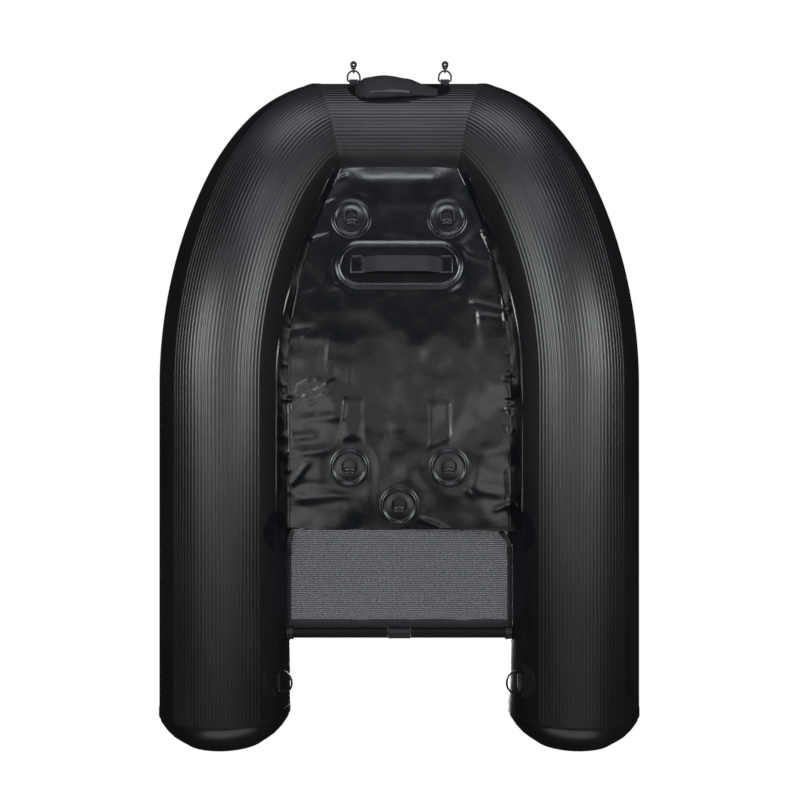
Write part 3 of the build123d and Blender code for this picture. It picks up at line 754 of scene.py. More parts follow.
def wound(x, y):
    """Where a point of the flat cut ends up, and how far it lies beyond the meeting line."""
    side = 1.0 if x >= 0.0 else -1.0
    flat = Vector((abs(x), y))
    best = None
    for (here, mid, run), (there, next_mid, next_run) in zip(MEETING, MEETING[1:]):
        start, step = here.to_2d(), (there - here).to_2d()
        share = min(max((flat - start).dot(step) / max(step.length_squared, 1e-12), 0.0), 1.0)
        gap = flat - start - step * share
        if best is None or gap.length_squared < best[0]:
            outside = step.y * gap.x - step.x * gap.y > 0.0
            best = (gap.length_squared, outside, here.lerp(there, share),
                    mid.lerp(next_mid, share), run.lerp(next_run, share).normalized())
    gap, outside, point, mid, run = best
    away = math.sqrt(gap) if outside else -math.sqrt(gap)
    if away <= 0.0:
        return Vector((x, y, panel_height(y))), away
    out = (point - mid) - run * (point - mid).dot(run)
    out = Matrix.Rotation(-away / TUBE_R, 3, run) @ out.normalized()
    placed = mid + run * (point - mid).dot(run) + out * (TUBE_R + GLUED)
    return Vector((placed.x * side, placed.y, placed.z)), away


print("flat cut is", round(2 * width_at(EDGE, PANEL_REAR_Y + 0.01), 3), "m wide at the rear")

# %% [markdown]
# A stretched panel is never quite flat. Seams pull it into short folds that run across the
# flange, and the frame of the seat above presses two flat bands into it. On a glossy black
# sheet these shapes are all that shows, so each is listed one by one: a ridge or groove has two
# ends, a half width and a height. The sheet is pushed along its own normals, and it is left alone
# under the welded pads, where it is stiff.

# %% Folds, bands and slack of the sheet
FOLDS = (                     # ends x, y and x, y, half width and height, in millimetres
    (266, 268, 281, 199, 6, 1.8), (291, 161, 226, 169, 9, -1.5), (273, 144, 194, 144, 13.5, 1.2),
    (308, 77, 288, 77, 6, 1.5), (308, 52, 286, 52, 6, -1.2), (310, 27, 288, 27, 5.2, 1.5),
    (310, -8, 271, -8, 6, 1.8), (298, -147, 283, -142, 7.5, 1.8),
    (296, -186, 283, -184, 7.5, 1.5), (286, -20, 283, -129, 4.5, -0.96),
    (273, -20, 273, -164, 4.5, -1.08), (171, 144, 179, 32, 7.5, 0.84),
    (119, 127, 124, 40, 7.5, 0.6), (216, 392, 176, 405, 4.5, 1.32),
    (194, 477, 164, 489, 4.5, 1.32), (161, 541, 137, 551, 4.5, 1.2),
    (248, 246, 154, 278, 10.5, 0.96), (154, 278, 94, 256, 9, 0.84),
    (256, 10, 204, 37, 5.2, 1.08), (233, 0, 164, 35, 6, 1.08), (219, -17, 154, 25, 6, 0.9),
    (251, 25, 228, 37, 4.5, 0.84), (221, -55, 156, -52, 12, 1.56),
    (266, -102, 219, -99, 12, 1.56), (233, -139, 149, -134, 12, 1.68),
    (263, -214, 231, -171, 7.5, 1.68), (243, -258, 134, -243, 12, 1.8),
    (233, -221, 144, -221, 12, -1.2), (273, -238, 248, -248, 9, 0.9),
    (134, -8, 142, -65, 3.3, 0.96), (-209, 405, -228, 367, 4, 3), (-224, 410, -241, 370, 3, 2),
    (-236, 340, -256, 256, 4, 3.2), (-257, 236, -268, 112, 2.6, 1.8),
    (-151, 363, -224, 335, 10.5, 1.32), (-186, 233, -253, 216, 7.5, -1.44),
    (-266, 216, -298, 201, 6, -1.44), (-199, 201, -248, 196, 7.5, -1.08),
    (-288, 216, -298, 214, 4.5, 1.5), (-191, 204, -191, 181, 4.5, 0.96),
    (-263, 42, -305, 40, 4.5, -1.56), (-276, 55, -301, 47, 6, 1.56),
    (-268, -12, -301, -14, 3.9, -1.44), (-268, -30, -301, -31, 3.9, -1.44),
    (-278, 25, -293, -5, 9, 1.44), (-263, -40, -268, -45, 4.5, 1.2),
    (-263, -82, -268, -87, 4.5, 1.2), (-286, -55, -286, -89, 9, 1.32),
    (-169, -139, -268, -132, 18, 1.44), (-174, -204, -248, -209, 18, 1.08),
    (-271, -189, -276, -278, 6.8, 2.04), (-243, -281, -278, -268, 7.5, 1.8),
    (-199, -234, -233, -241, 13.5, 1.56), (-161, -224, -176, -243, 5.2, 1.2),
    (-45, -303, -99, -325, 6, 1.92), (-114, -330, -122, -333, 4.5, 1.2),
    (-124, -25, -125, -104, 3.9, 0.96), (-89, 17, -92, -20, 4.5, 0.6))
FOLD_REACH = 130                                         # no fold reaches further, mm
BANDS = ((92, 139, -109, -10), (-125, -74, -134, -17))   # low and high x, low and high y, mm
BAND_H = 0.0012
BAND_EDGE = 0.012
BOW_BULGE = 0.0045
BULGE_RISE, BULGE_FALL = (0.476, 0.540), (0.541, 0.594)  # y
BULGE_SIDE = (0.07, 0.15)                                # x where the bulge fades
CALM = (0.40, 0.50)                                      # y where the slack fades
HEM_BEAD = 0.0009
BEAD_FADE = (0.05, 0.40)                                 # y
SLACK = ((9.0, 0.0032), (21.0, 0.0014))                  # waves to the metre, and height
PADS = ((0.120, 0.444), (-0.120, 0.444), (0.124, -0.178), (-0.124, -0.178), (0.0, -0.273))
PAD_R = 0.052
STIFF_FADE = (0.025, 0.02)    # from stiff to free, round a pad and round the handle patch
OVAL = (0.098, 0.062, 0.327)  # handle patch: half the distance of its ends, radius, middle y


def fold_height(fold, x, y):
    """Height that one fold adds at a point, all in millimetres."""
    x0, y0, x1, y1, wide, high = fold
    along = Vector((x1 - x0, y1 - y0))
    from_start = Vector((x - x0, y - y0))
    share = from_start.dot(along) / along.length_squared
    beyond = max(-share, share - 1.0, 0.0) * along.length
    aside = (from_start - along * share).length
    reach = (aside / wide) ** 2 + (beyond / (1.5 * wide)) ** 2
    return high * math.exp(-reach) if reach < 8.0 else 0.0


def stiff(x, y):
    """0 under a pad or the handle patch, 1 well away from them."""
    free = 1.0
    for pad_x, pad_y in PADS:
        away = math.hypot(x - pad_x, y - pad_y)
        free = min(free, between(away, PAD_R, PAD_R + STIFF_FADE[0]))
    away = math.hypot(max(abs(x) - OVAL[0], 0.0), y - OVAL[2])
    return min(free, between(away, OVAL[1], OVAL[1] + STIFF_FADE[1]))


def relief(x, y):
    """How far the sheet stands out from its plain shape."""
    height = 0.0
    for fold in FOLDS:
        if max(abs(x * 1000 - fold[0]), abs(y * 1000 - fold[1])) < FOLD_REACH:
            height += fold_height(fold, x * 1000, y * 1000) / 1000
    for low_x, high_x, low_y, high_y in BANDS:
        inside = min(x - low_x / 1000, high_x / 1000 - x, (y - low_y / 1000) / 2,
                     (high_y / 1000 - y) / 2)
        height += BAND_H * between(inside, -BAND_EDGE / 2, BAND_EDGE / 2)
    for waves, high in SLACK:
        calm = 1.0 - 0.85 * between(y, *CALM)
        height += calm * high * noise.noise(Vector((x * waves, y * waves, waves)))
    bulge = between(y, *BULGE_RISE) * (1 - between(y, *BULGE_FALL))
    height += BOW_BULGE * bulge * (1 - between(abs(x), *BULGE_SIDE))
    return height * stiff(x, y)


def hem_bead(at_hem, y):
    """The weld along the free edge leaves a small bead, lower towards the bow."""
    return HEM_BEAD * (1.0 - between(y, *BEAD_FADE)) if at_hem else 0.0


def push_out(made, height):
    """Move every point along its own normal, by what height says for it."""
    moves = [(vert, vert.normal * height(vert)) for vert in made.verts]
    for vert, move in moves:
        vert.co += move


def belly_sheet():
    made = bmesh.new()
    bmesh.ops.create_grid(made, x_segments=SHEET_ACROSS, y_segments=SHEET_ALONG, size=1.0)
    turning, rolling, hem, flat = [], [], set(), {}
    for vert in made.verts:
        y = PANEL_REAR_Y + (vert.co.y + 1) / 2 * (bow_y + BOW_ROLL - PANEL_REAR_Y)
        x = cut_x(vert.co.x, y)
        if HEM_SHARE[0] < abs(vert.co.x) < HEM_SHARE[1]:
            hem.add(vert)
        if y > bow_y - 0.001 or abs(x) > PLAIN_X:
            vert.co, away = wound(x, y)
        else:
            vert.co, away = Vector((x, y, panel_height(y))), -1.0
        flat[vert] = (x, y)
        if y > bow_y - ROLL_STRIP:
            if not vert.is_boundary:
                rolling.append(vert)
        elif abs(away) < RELAX_STRIP and not vert.is_boundary:
            turning.append(vert)
    for verts, rounds in ((turning, RELAX_ROUNDS), (rolling, ROLL_ROUNDS)):
        for _ in range(rounds):
            bmesh.ops.smooth_vert(made, verts=verts, factor=0.5, use_axis_x=True,
                                  use_axis_y=True, use_axis_z=True)
    bmesh.ops.recalc_face_normals(made, faces=made.faces)
    made.normal_update()
    if made.faces[:][0].normal.z > 0:
        bmesh.ops.reverse_faces(made, faces=made.faces)
        made.normal_update()
    push_out(made, lambda vert: relief(*flat[vert]) + hem_bead(vert in hem, flat[vert][1]))
    made.normal_update()
    free_edge = [(vert, vert.normal.copy()) for vert in made.verts
                 if vert.is_boundary and vert.co.y > PANEL_REAR_Y + 0.001]
    outer = [(vert, vert.co - vert.normal * SHEET_T, vert.is_boundary) for vert in made.verts]
    bmesh.ops.solidify(made, geom=made.faces[:], thickness=SHEET_T)
    known = {vert for vert, _, _ in outer}
    inner = [vert for vert in made.verts if vert not in known]
    spikes = 0
    for (vert, behind, at_edge), twin in zip(outer, inner):
        if not at_edge and (twin.co - vert.co).length > 1.5 * SHEET_T:
            twin.co = behind            # solidify throws a point far out at a tight fold
            spikes += 1
    print("points put back", spikes)
    for vert, out in free_edge:
        vert.co -= out * EDGE_TAPER
    bmesh.ops.recalc_face_normals(made, faces=made.faces)
    sharpen(made)
    return made


sheet = piece(belly_sheet(), "belly_sheet", "panel_gloss")
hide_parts("belly_panel", "port_panel_flange", "starboard_panel_flange")
low = min(vert.co.z for vert in sheet.data.vertices)

# %% [markdown]
# Webbing, netting and the seat's cloth come next. A weave has to follow the strap that it is
# in, so the webbing reads the strap's own UV map, which is laid out in metres. The netting is
# a flat sheet, and its rows and holes are drawn on plain coordinates: the holes are in Alpha.

# %% Woven goods
WEBBING_RIB = 0.0017          # from one weft rib of the webbing to the next
NET_ROW = 0.0053              # from one dark knitted row of the netting to the next
NET_HOLE = 0.00177            # from one hole to the next but one
SEAT_WEAVE = 0.0022           # from one thread of the seat's cloth to the next


def webbing():
    """Flat nylon webbing: ribs across it, warp threads along it and a thin selvage."""
    tree = finish("webbing")
    along, across, _ = tree.axes(tree.place("UV"))
    rib = (along * (FULL_TURN / WEBBING_RIB)).sine()
    warp = (across * (FULL_TURN / (1.6 * WEBBING_RIB))).sine()
    weave = (rib * 0.7 + rib * warp * 0.5) * 0.5 + 0.5
    fuzz = tree.noise(tree.place(), 700.0, 2.0)
    worn = tree.noise(tree.place(), 24.0, 4.0).ramp(0.4, 0.75)
    tree.surface(Base_Color=tree.tint(weave * 0.6 + worn * 0.25, (0.008, 0.008, 0.0095),
                                      (0.032, 0.032, 0.035)),
                 Roughness=0.62 + 0.2 * fuzz,
                 Specular_IOR_Level=0.35,
                 Normal=tree.bump(weave + fuzz * 0.25, 0.0005, 0.8))


def netting():
    """Knitted mesh of the leg support: solid rows with rows of small holes between them."""
    tree = finish("netting")
    x, y, _ = tree.axes(tree.place())
    row = (y * (1 / NET_ROW)).fraction()
    solid = 1.0 - row.ramp(0.0, 0.10) * (1.0 - row.ramp(0.30, 0.40))
    lattice = (x * (FULL_TURN / NET_HOLE)).sine() * (y * (FULL_TURN / NET_HOLE)).sine()
    # Painted shade: the holes are few and only half clear, so the netting looks as dark as an open
    # mesh with shade behind it.
    hole = lattice.absolute().above(0.72) * solid
    uneven = tree.noise(tree.place(), 7.0, 3.0)
    thread = tree.noise(tree.place(), 900.0, 2.0)
    tree.surface(Base_Color=tree.tint(uneven, (0.015, 0.018, 0.025), (0.026, 0.029, 0.038)),
                 Roughness=0.7 + 0.2 * thread,
                 Specular_IOR_Level=0.3,
                 Alpha=1.0 - hole * 0.55,
                 Normal=tree.bump(solid + thread * 0.15, 0.0003, 0.5))


def grip_cloth():
    """Ballistic cloth over the padding of the bow handle, nearly black."""
    tree = finish("grip_cloth")
    place = tree.place()
    fuzz = tree.noise(place, 500.0, 3.0)
    creases = tree.noise(place, 60.0, 3.0, stretch=(0.5, 1.5, 1.0))
    tree.surface(Base_Color=tree.tint(fuzz * 0.6 + creases * 0.3, (0.004, 0.004, 0.0048),
                                      (0.017, 0.017, 0.019)),
                 Roughness=0.60 + 0.2 * fuzz,
                 Specular_IOR_Level=0.3,
                 Normal=tree.bump(creases + fuzz * 0.2, 0.0010, 0.6))


def seat_cloth():
    """Coated cloth of the seat and backrest: a heavier weave than the tubes, hardly glossy."""
    tree = finish("seat_cloth")
    place = tree.place()
    x, y, z = tree.axes(place)
    turn = FULL_TURN / SEAT_WEAVE
    weave = ((x + z * 0.7) * turn).sine() * ((y - z * 0.7) * turn).sine() * 0.5 + 0.5
    shade = tree.noise(place, 3.5, 4.0).ramp(0.35, 0.7)
    marks = tree.noise(place, 45.0, 5.0)
    creases = tree.noise(place, 26.0, 3.0, stretch=(1.0, 2.2, 1.0))
    tree.surface(Base_Color=tree.tint(shade * 0.6 + weave * 0.25, (0.0125, 0.013, 0.015),
                                      (0.026, 0.027, 0.030)),
                 Roughness=0.46 + 0.14 * marks + 0.08 * weave,
                 Specular_IOR_Level=0.4,
                 Normal=tree.bump(creases * 0.8 + marks * 0.12 + weave * 0.08, 0.0022, 0.5))


webbing()
netting()
grip_cloth()
seat_cloth()

# %% [markdown]
# The hard and welded parts are small, so their finishes are told apart by gloss and by wear.
# Moulded patches have the gloss of their mould, wire rings wear bright on their bends, and the
# bar is a drawn tube under black paint with fine lines along it.

# %% Moulded, painted and welded finishes


def welded_patch():
    """Patches of tube fabric welded on: satin, with the cloth's imprint and a rubbed edge."""
    tree = finish("welded_patch")
    place = tree.place()
    marks = tree.noise(place, 55.0, 5.0)
    haze = tree.noise(place, 12.0, 3.0)
    tree.surface(Base_Color=tree.tint(marks.ramp(0.45, 0.7) * 0.5, (0.0060, 0.0062, 0.0072),
                                      (0.014, 0.014, 0.016)),
                 Roughness=0.24 + 0.16 * haze + 0.08 * marks,
                 Specular_IOR_Level=0.5,
                 Normal=tree.bump(marks * 0.3 + scrim(tree, place) * 0.05, 0.0010, 0.4))


def moulded_gloss():
    """Moulded ring pads and handle bases: smooth and glossy, with a few fine scratches."""
    tree = finish("moulded_gloss")
    place = tree.place()
    haze = tree.noise(place, 30.0, 4.0)
    scratches = tree.noise(place, 260.0, 4.0, stretch=(0.2, 1.0, 0.6)).ramp(0.62, 0.7)
    tree.surface(Base_Color=tree.tint(scratches * 0.4, (0.0050, 0.0058, 0.0068),
                                      (0.02, 0.02, 0.022)),
                 Roughness=0.14 + 0.14 * haze + 0.10 * scratches,
                 Specular_IOR_Level=0.55,
                 Normal=tree.bump(haze, 0.0005, 0.4))


def black_wire():
    """Wire rings and hooks: black plating, worn a little where metal rubs on metal."""
    tree = finish("black_wire")
    place = tree.place()
    wear = tree.noise(place, 90.0, 4.0).ramp(0.60, 0.72)
    grain = tree.noise(place, 600.0, 2.0)
    tree.surface(Base_Color=tree.tint(wear * 0.5, (0.0040, 0.0040, 0.0045), (0.05, 0.05, 0.052)),
                 Metallic=0.3 + 0.5 * wear,
                 Roughness=0.30 + 0.15 * grain,
                 Normal=tree.bump(grain, 0.0002, 0.3))


def black_tube():
    """The leg bar: drawn tube under black paint, with faint lines along it."""
    tree = finish("black_tube")
    place = tree.place()
    lines = tree.noise(place, 300.0, 2.0, stretch=(0.05, 1.0, 1.0))
    chips = tree.noise(place, 120.0, 5.0).ramp(0.68, 0.74)
    tree.surface(Base_Color=tree.tint(chips * 0.5 + lines * 0.1, (0.0030, 0.0031, 0.0033),
                                      (0.04, 0.04, 0.042)),
                 Roughness=0.30 + 0.14 * lines,
                 Specular_IOR_Level=0.1,
                 Normal=tree.bump(lines, 0.0002, 0.4))


def moulded_plastic():
    """Buckles, valves and bar ends: black plastic with the fine grain of its mould."""
    tree = finish("moulded_plastic")
    place = tree.place()
    grain = tree.noise(place, 800.0, 3.0)
    rubbed = tree.noise(place, 60.0, 4.0).ramp(0.5, 0.7)
    tree.surface(Base_Color=tree.tint(rubbed * 0.4, (0.0045, 0.0045, 0.0050),
                                      (0.014, 0.014, 0.015)),
                 Roughness=0.38 + 0.16 * grain - 0.08 * rubbed,
                 Specular_IOR_Level=0.3,
                 Normal=tree.bump(grain, 0.0003, 0.5))


for make in (welded_patch, moulded_gloss, black_wire, black_tube, moulded_plastic):
    make()
print("finishes", sorted(FINISHES))

# %% [markdown]
# ## Oval patch and webbing handles
# A grab handle is a length of webbing whose feet are welded under a patch. The patch on the
# belly is a moulded oval with a raised bead round its field. It is drawn as one flat face, and
# each step of the mould is an inset of that face, moved out or in a little.

# %% Places on the hull
def frame_at(origin, ahead, out):
    """Matrix whose x axis runs ahead and whose z axis points out."""
    ahead, out = Vector(ahead), Vector(out)
    turn = Matrix((ahead, out.cross(ahead), out)).transposed()
    return Matrix.Translation(origin) @ turn.to_4x4()


def under_panel(x, y, lift):
    """A place on the underside of the belly panel."""
    slope = math.atan((PANEL_BOW_Z - PANEL_Z) / (PANEL_BOW_Y - PANEL_FLAT_Y))
    slope = slope if y > PANEL_FLAT_Y else 0.0
    out = Vector((0.0, math.sin(slope), -math.cos(slope)))
    return frame_at(Vector((x, y, panel_height(y))) + out * lift, (1, 0, 0), out)


def on_pontoon(y, angle, lift):
    """A place on the starboard pontoon, at an angle from its bottom towards the inside."""
    out = Vector((-math.sin(angle), 0.0, -math.cos(angle)))
    return frame_at(Vector((TUBE_X, y, AXIS_Z)) + out * (TUBE_R + lift), (0, 1, 0), out)


def on_bow(x, angle, lift):
    """A place on the bow tube, at an angle from its bottom towards the front."""
    out = Vector((0.0, math.sin(angle), -math.cos(angle)))
    return frame_at(Vector((x, SEAM.y, SEAM.z)) + out * (TUBE_R + lift), (1, 0, 0), out)


# %% Oval patch under the belly handle
OVAL_STEPS = (                # inset and height of each step of the mould
    (0.0004, 0.0004), (0.0010, 0.0003), (0.0065, 0.0001), (0.0011, 0.0002), (0.0012, 0.0004),
    (0.0012, 0.0003), (0.0011, 0.0), (0.0012, -0.0003), (0.0012, -0.0004), (0.0011, -0.0002),
    (0.0060, 0.0), (0.0100, 0.0002), (0.0100, 0.0002))
PAD_LIFT = 0.0002             # welded pads and patches start this far off the panel


def moulded(made, steps):
    """Step the one flat face of a mesh inwards and outwards, as the mould of a patch does."""
    made.normal_update()
    if made.faces[:][0].normal.z < 0.0:
        bmesh.ops.reverse_faces(made, faces=made.faces[:])
    top = made.faces[:][0]
    for inset, lift in steps:
        bmesh.ops.inset_region(made, faces=[top], use_boundary=True, use_even_offset=True,
                               thickness=inset, depth=lift)


def oval(half, radius, steps, segments):
    """A moulding with round ends; half is half the distance of their middles."""
    made = bmesh.new()
    bmesh.ops.create_circle(made, cap_ends=True, segments=segments, radius=radius)
    for vert in made.verts:
        if abs(vert.co.x) > 0.001:
            vert.co.x += math.copysign(half, vert.co.x)
    moulded(made, steps)
    return made


def placed(made, place):
    """Put a moulding in its place and close it."""
    bmesh.ops.transform(made, matrix=place, verts=made.verts)
    shut(made)
    return made


made = oval(OVAL[0], OVAL[1], OVAL_STEPS, 96)
patch_top = max(vert.co.z for vert in made.verts)
patch = piece(placed(made, under_panel(0.0, OVAL[2], PAD_LIFT)), "belly_oval_patch",
              "panel_gloss")
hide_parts("belly_handle_patch")
print("oval patch", [round(v, 3) for v in patch.dimensions], "stands", round(patch_top, 4))

# %% [markdown]
# The panel carries five ring pads, moulded in the same way: a thin flange, a fat rolled rim
# and a dished field, with a hump in the middle that holds the bar of the wire ring. On black
# gloss only the rim and the hump catch the light, so their roundness is what is seen.

# %% Ring pads
PAD_STEPS = ((0.0004, 0.0006), (0.0012, 0.0006), (0.0030, 0.0001), (0.0007, 0.0012),
             (0.0011, 0.0012), (0.0013, 0.0008), (0.0014, 0.0002), (0.0014, -0.0003),
             (0.0013, -0.0008), (0.0009, -0.0009), (0.0020, -0.0006), (0.0040, 0.0003),
             (0.0050, 0.0006), (0.0050, 0.0005), (0.0040, 0.0002))
PAD_HUMPS = ((0.0, 0.0125, 0.0033, 0.0150, 0.0042, 0.0052),   # middle, then half sizes
             (0.0, 0.0050, 0.0034, 0.0165, 0.0062, 0.0068))
PAD_OUTER_R = 0.0510


def ring_pad(x, y):
    made = oval(0.0, PAD_OUTER_R, PAD_STEPS, 72)
    shut(made)
    for spot_x, spot_y, spot_z, long, wide, high in PAD_HUMPS:
        place = Matrix.Translation((spot_x, spot_y, spot_z))
        bmesh.ops.create_icosphere(made, subdivisions=3, radius=1.0,
                                   matrix=place @ Matrix.Diagonal((long, wide, high, 1.0)))
    bmesh.ops.transform(made, matrix=under_panel(x, y, PAD_LIFT), verts=made.verts)
    bmesh.ops.recalc_face_normals(made, faces=made.faces)
    return made


def gathered(parts):
    """One bmesh from several."""
    whole = bmesh.new()
    for part in parts:
        mesh = bpy.data.meshes.new("part")
        part.to_mesh(mesh)
        part.free()
        whole.from_mesh(mesh)
        bpy.data.meshes.remove(mesh)
    return whole


pads = piece(gathered([ring_pad(x, y) for x, y in PADS]), "belly_moulded_pads", "moulded_gloss")
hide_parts("belly_ring_pads")
print("ring pads", len(pads.data.polygons), "faces")

# %% [markdown]
# A strap is a grid with its long side laid along a run of points. The run starts as a few
# corners and is eased until it curves as stiff webbing does. The UV map is written from the
# distances along and across, so that the ribs of the weave have one size on every strap.

# %% Straps
STRAP_STEP = 0.0025
STRAP_EDGE = math.radians(60)          # edges that turn more are rounded off
STRAP_CROWN, STRAP_ROUND = 0.15, 0.28  # crown and edge radius, in thicknesses
UNIT_Y = Vector((0, 1, 0))


def cloth_grid(along, columns, uv_of):
    """A unit grid round the origin. uv_of gives u and v, in metres, for a point of it."""
    made = bmesh.new()
    uv = made.loops.layers.uv.new("UVMap")
    bmesh.ops.create_grid(made, x_segments=along, y_segments=columns, size=0.5)
    for face in made.faces:
        for loop in face.loops:
            loop[uv].uv = uv_of(loop.vert.co)
    return made


def thicken(made, thickness):
    """Give an open sheet its thickness."""
    made.normal_update()
    bmesh.ops.solidify(made, geom=made.faces[:], thickness=thickness)
    bmesh.ops.recalc_face_normals(made, faces=made.faces)


def run_length(run):
    return sum((there - here).length for here, there in zip(run, run[1:]))


def eased(points, rounds, step=STRAP_STEP):
    """A run of points an even step apart, with its corners rounded off."""
    points = [Vector(point) for point in points]
    run = [points[0]]
    for start, end in zip(points, points[1:]):
        parts = max(1, round((end - start).length / step))
        run += [start.lerp(end, part / parts) for part in range(1, parts + 1)]
    for _ in range(rounds):
        run[1:-1] = [before * 0.25 + here * 0.5 + after * 0.25
                     for before, here, after in zip(run, run[1:], run[2:])]
    return run


def along_run(run, share):
    """Point and direction at a share of a run's points."""
    index = min(int(share * (len(run) - 1)), len(run) - 2)
    point = run[index].lerp(run[index + 1], share * (len(run) - 1) - index)
    ahead = run[min(index + 2, len(run) - 1)] - run[max(index - 1, 0)]
    return point, ahead.normalized()


def strap(run, across, width, thickness, columns=8):
    """Webbing along a run, a little crowned. across is the direction of its width."""
    length = run_length(run)
    made = cloth_grid(len(run) - 1, columns,
                      lambda spot: ((spot.x + 0.5) * length, spot.y * width))
    for vert in made.verts:
        point, ahead = along_run(run, vert.co.x + 0.5)
        side = (across - ahead * across.dot(ahead)).normalized()
        crown = ahead.cross(side) * thickness * STRAP_CROWN * (1 - (2 * vert.co.y) ** 2)
        vert.co = point + side * vert.co.y * width + crown
    thicken(made, thickness)
    edges = [edge for edge in made.edges
             if len(edge.link_faces) == 2 and edge.calc_face_angle() > STRAP_EDGE]
    bmesh.ops.bevel(made, geom=edges, offset=thickness * STRAP_ROUND, segments=2,
                    profile=0.5, affect="EDGES", material=-1)
    return made, length


def arch(place, span, rise, foot, mid):
    """The run of a grab handle: two feet and an arch between them."""
    half, run = span / 2, span * 0.16
    corners = ((-half - foot, mid), (-half, mid), (-half + run, rise), (half - run, rise),
               (half, mid), (half + foot, mid))
    return [place @ point for point in eased([(x, 0.0, z) for x, z in corners], 22)]


def handle(name, node, place, span, width, rise, foot, side=1):
    """Welded grab handle that stands for the CAD model's plain one."""
    run = arch(place, span, rise, foot, HANDLE_T / 2)
    across = (place.to_3x3() @ UNIT_Y).normalized()
    made, length = strap(run, across, width, HANDLE_T)
    thing = piece(made, name, "webbing", side)
    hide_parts(node)
    print(name, "webbing", round(length, 3), "m")


HANDLE_T = 0.003
BELLY_HANDLE_Y = 0.327
SIDE_HANDLE = (-0.102, math.radians(-140.0))           # y, and angle round the pontoon
handle("belly_grab_handle", "belly_handle", under_panel(-0.006, BELLY_HANDLE_Y, 0.0024),
       span=0.190, width=0.040, rise=0.024, foot=0.022)
for side, name in SIDES:
    handle(name + "_side_handle", name + "_carry_handle", on_pontoon(*SIDE_HANDLE, 0.0023),
           span=0.180, width=0.032, rise=0.032, foot=0.026, side=side)

# %% [markdown]
# The feet of the belly handle are not left bare: a moulded cap is welded over each, so only the
# arch of webbing shows. The caps have two sharp ridges across them that shine.

# %% Caps over the feet of the belly handle
CAP_STEPS = ((0.0005, 0.0026), (0.0012, 0.0008), (0.0016, 0.0002), (0.0014, -0.0003),
             (0.0030, -0.0002))
CAP_X = (0.1060, -0.1175)
CAP_HALF = (0.0165, 0.0235)
CAP_CORNER = 0.006


def rounded_plate(half_x, half_y, corner, segments):
    """One flat face round the origin, with its corners rounded off."""
    made = bmesh.new()
    bmesh.ops.create_grid(made, x_segments=1, y_segments=1, size=1.0)
    bmesh.ops.scale(made, vec=(half_x, half_y, 1.0), verts=made.verts)
    bmesh.ops.bevel(made, geom=made.verts[:], offset=corner, segments=segments, profile=0.5,
                    affect="VERTICES")
    return made


def foot_cap(x):
    made = rounded_plate(*CAP_HALF, CAP_CORNER, 6)
    moulded(made, CAP_STEPS)
    return placed(made, under_panel(x, BELLY_HANDLE_Y, 0.0022))


caps = piece(gathered([foot_cap(x) for x in CAP_X]), "belly_handle_caps", "panel_gloss")
print("caps", [round(v, 3) for v in caps.dimensions])

# %% [markdown]
# Each foot of a side handle is held by a square of stitches, and a stitch is a small stretched
# ball. They are small, but on the real thing they catch the light and say how the handle is
# fixed.

# %% Stitches
STITCH = (0.0034, 0.0009)     # length and thickness of a stitch
STITCH_PITCH = 1.5            # from one stitch to the next, in lengths
STITCH_FACES = 20


def stitch_rows(place, rows):
    """Rows of stitches in a frame: each row is x, y and x, y on the frame's plane."""
    made = bmesh.new()
    for x0, y0, x1, y1 in rows:
        start, end = Vector((x0, y0, 0)), Vector((x1, y1, 0))
        count = max(2, round((end - start).length / (STITCH[0] * STITCH_PITCH)))
        turn = Matrix.Rotation(math.atan2(y1 - y0, x1 - x0), 4, "Z")
        for number in range(count):
            spot = start.lerp(end, (number + 0.5) / count)
            size = Matrix.Diagonal((STITCH[0] / 2, STITCH[1] / 2, STITCH[1] / 2, 1.0))
            bmesh.ops.create_icosphere(made, subdivisions=1, radius=1.0,
                                       matrix=place @ Matrix.Translation(spot) @ turn @ size)
    return made


def foot_rows(centre, half_along, half_across):
    """Four rows round each foot of a handle."""
    rows = []
    for end in (-1, 1):
        x = end * centre
        for edge in (-1, 1):
            rows.append((x + edge * half_along, -half_across, x + edge * half_along, half_across))
            rows.append((x - half_along, edge * half_across, x + half_along, edge * half_across))
    return rows


for side, name in SIDES:
    made = stitch_rows(on_pontoon(*SIDE_HANDLE, 0.0057), foot_rows(0.104, 0.010, 0.0125))
    stitches = piece(made, name + "_side_handle_stitches", "webbing", side)
print("stitches", len(stitches.data.polygons) // STITCH_FACES, "on each side handle")

# %% [markdown]
# ## Padded bow handle
# The bow is carried by a padded grip. It is a thick soft sleeve over webbing, fat at one end
# and worn thin at the other, so its section changes along the run. A grid is rolled up round
# the run into a closed tube for this, with the section's width and thickness given at a few
# stations. A line of piping lies along its lower side.

# %% Sleeve round a run
ROUND_WIDTHS = 2.4            # way round a sleeve, in its widths
SAME_PLACE = 1e-5             # points nearer than this are joined


def at_stations(stations, share):
    """Values between the stations (share, value, value...), eased."""
    for low, high in zip(stations, stations[1:]):
        if share <= high[0]:
            part = between(share, low[0], high[0])
            return [a + (b - a) * part for a, b in zip(low[1:], high[1:])]
    return list(stations[-1][1:])


def sleeve(run, across, stations, around=28):
    """Soft closed tube round a run. A station is a share, a width and a thickness."""
    length = run_length(run)
    made = cloth_grid(len(run) - 1, around, lambda spot: (
        (spot.x + 0.5) * length,
        spot.y * at_stations(stations, spot.x + 0.5)[0] * ROUND_WIDTHS))
    for vert in made.verts:
        share, turn = vert.co.x + 0.5, FULL_TURN * vert.co.y
        point, ahead = along_run(run, share)
        side = (across - ahead * across.dot(ahead)).normalized()
        wide, thick = at_stations(stations, share)
        swell = 0.5 * math.cos(turn) * wide, 0.5 * math.sin(turn) * thick
        vert.co = point + side * swell[0] + ahead.cross(side) * swell[1]
    bmesh.ops.remove_doubles(made, verts=made.verts, dist=SAME_PLACE)
    shut(made)
    return made


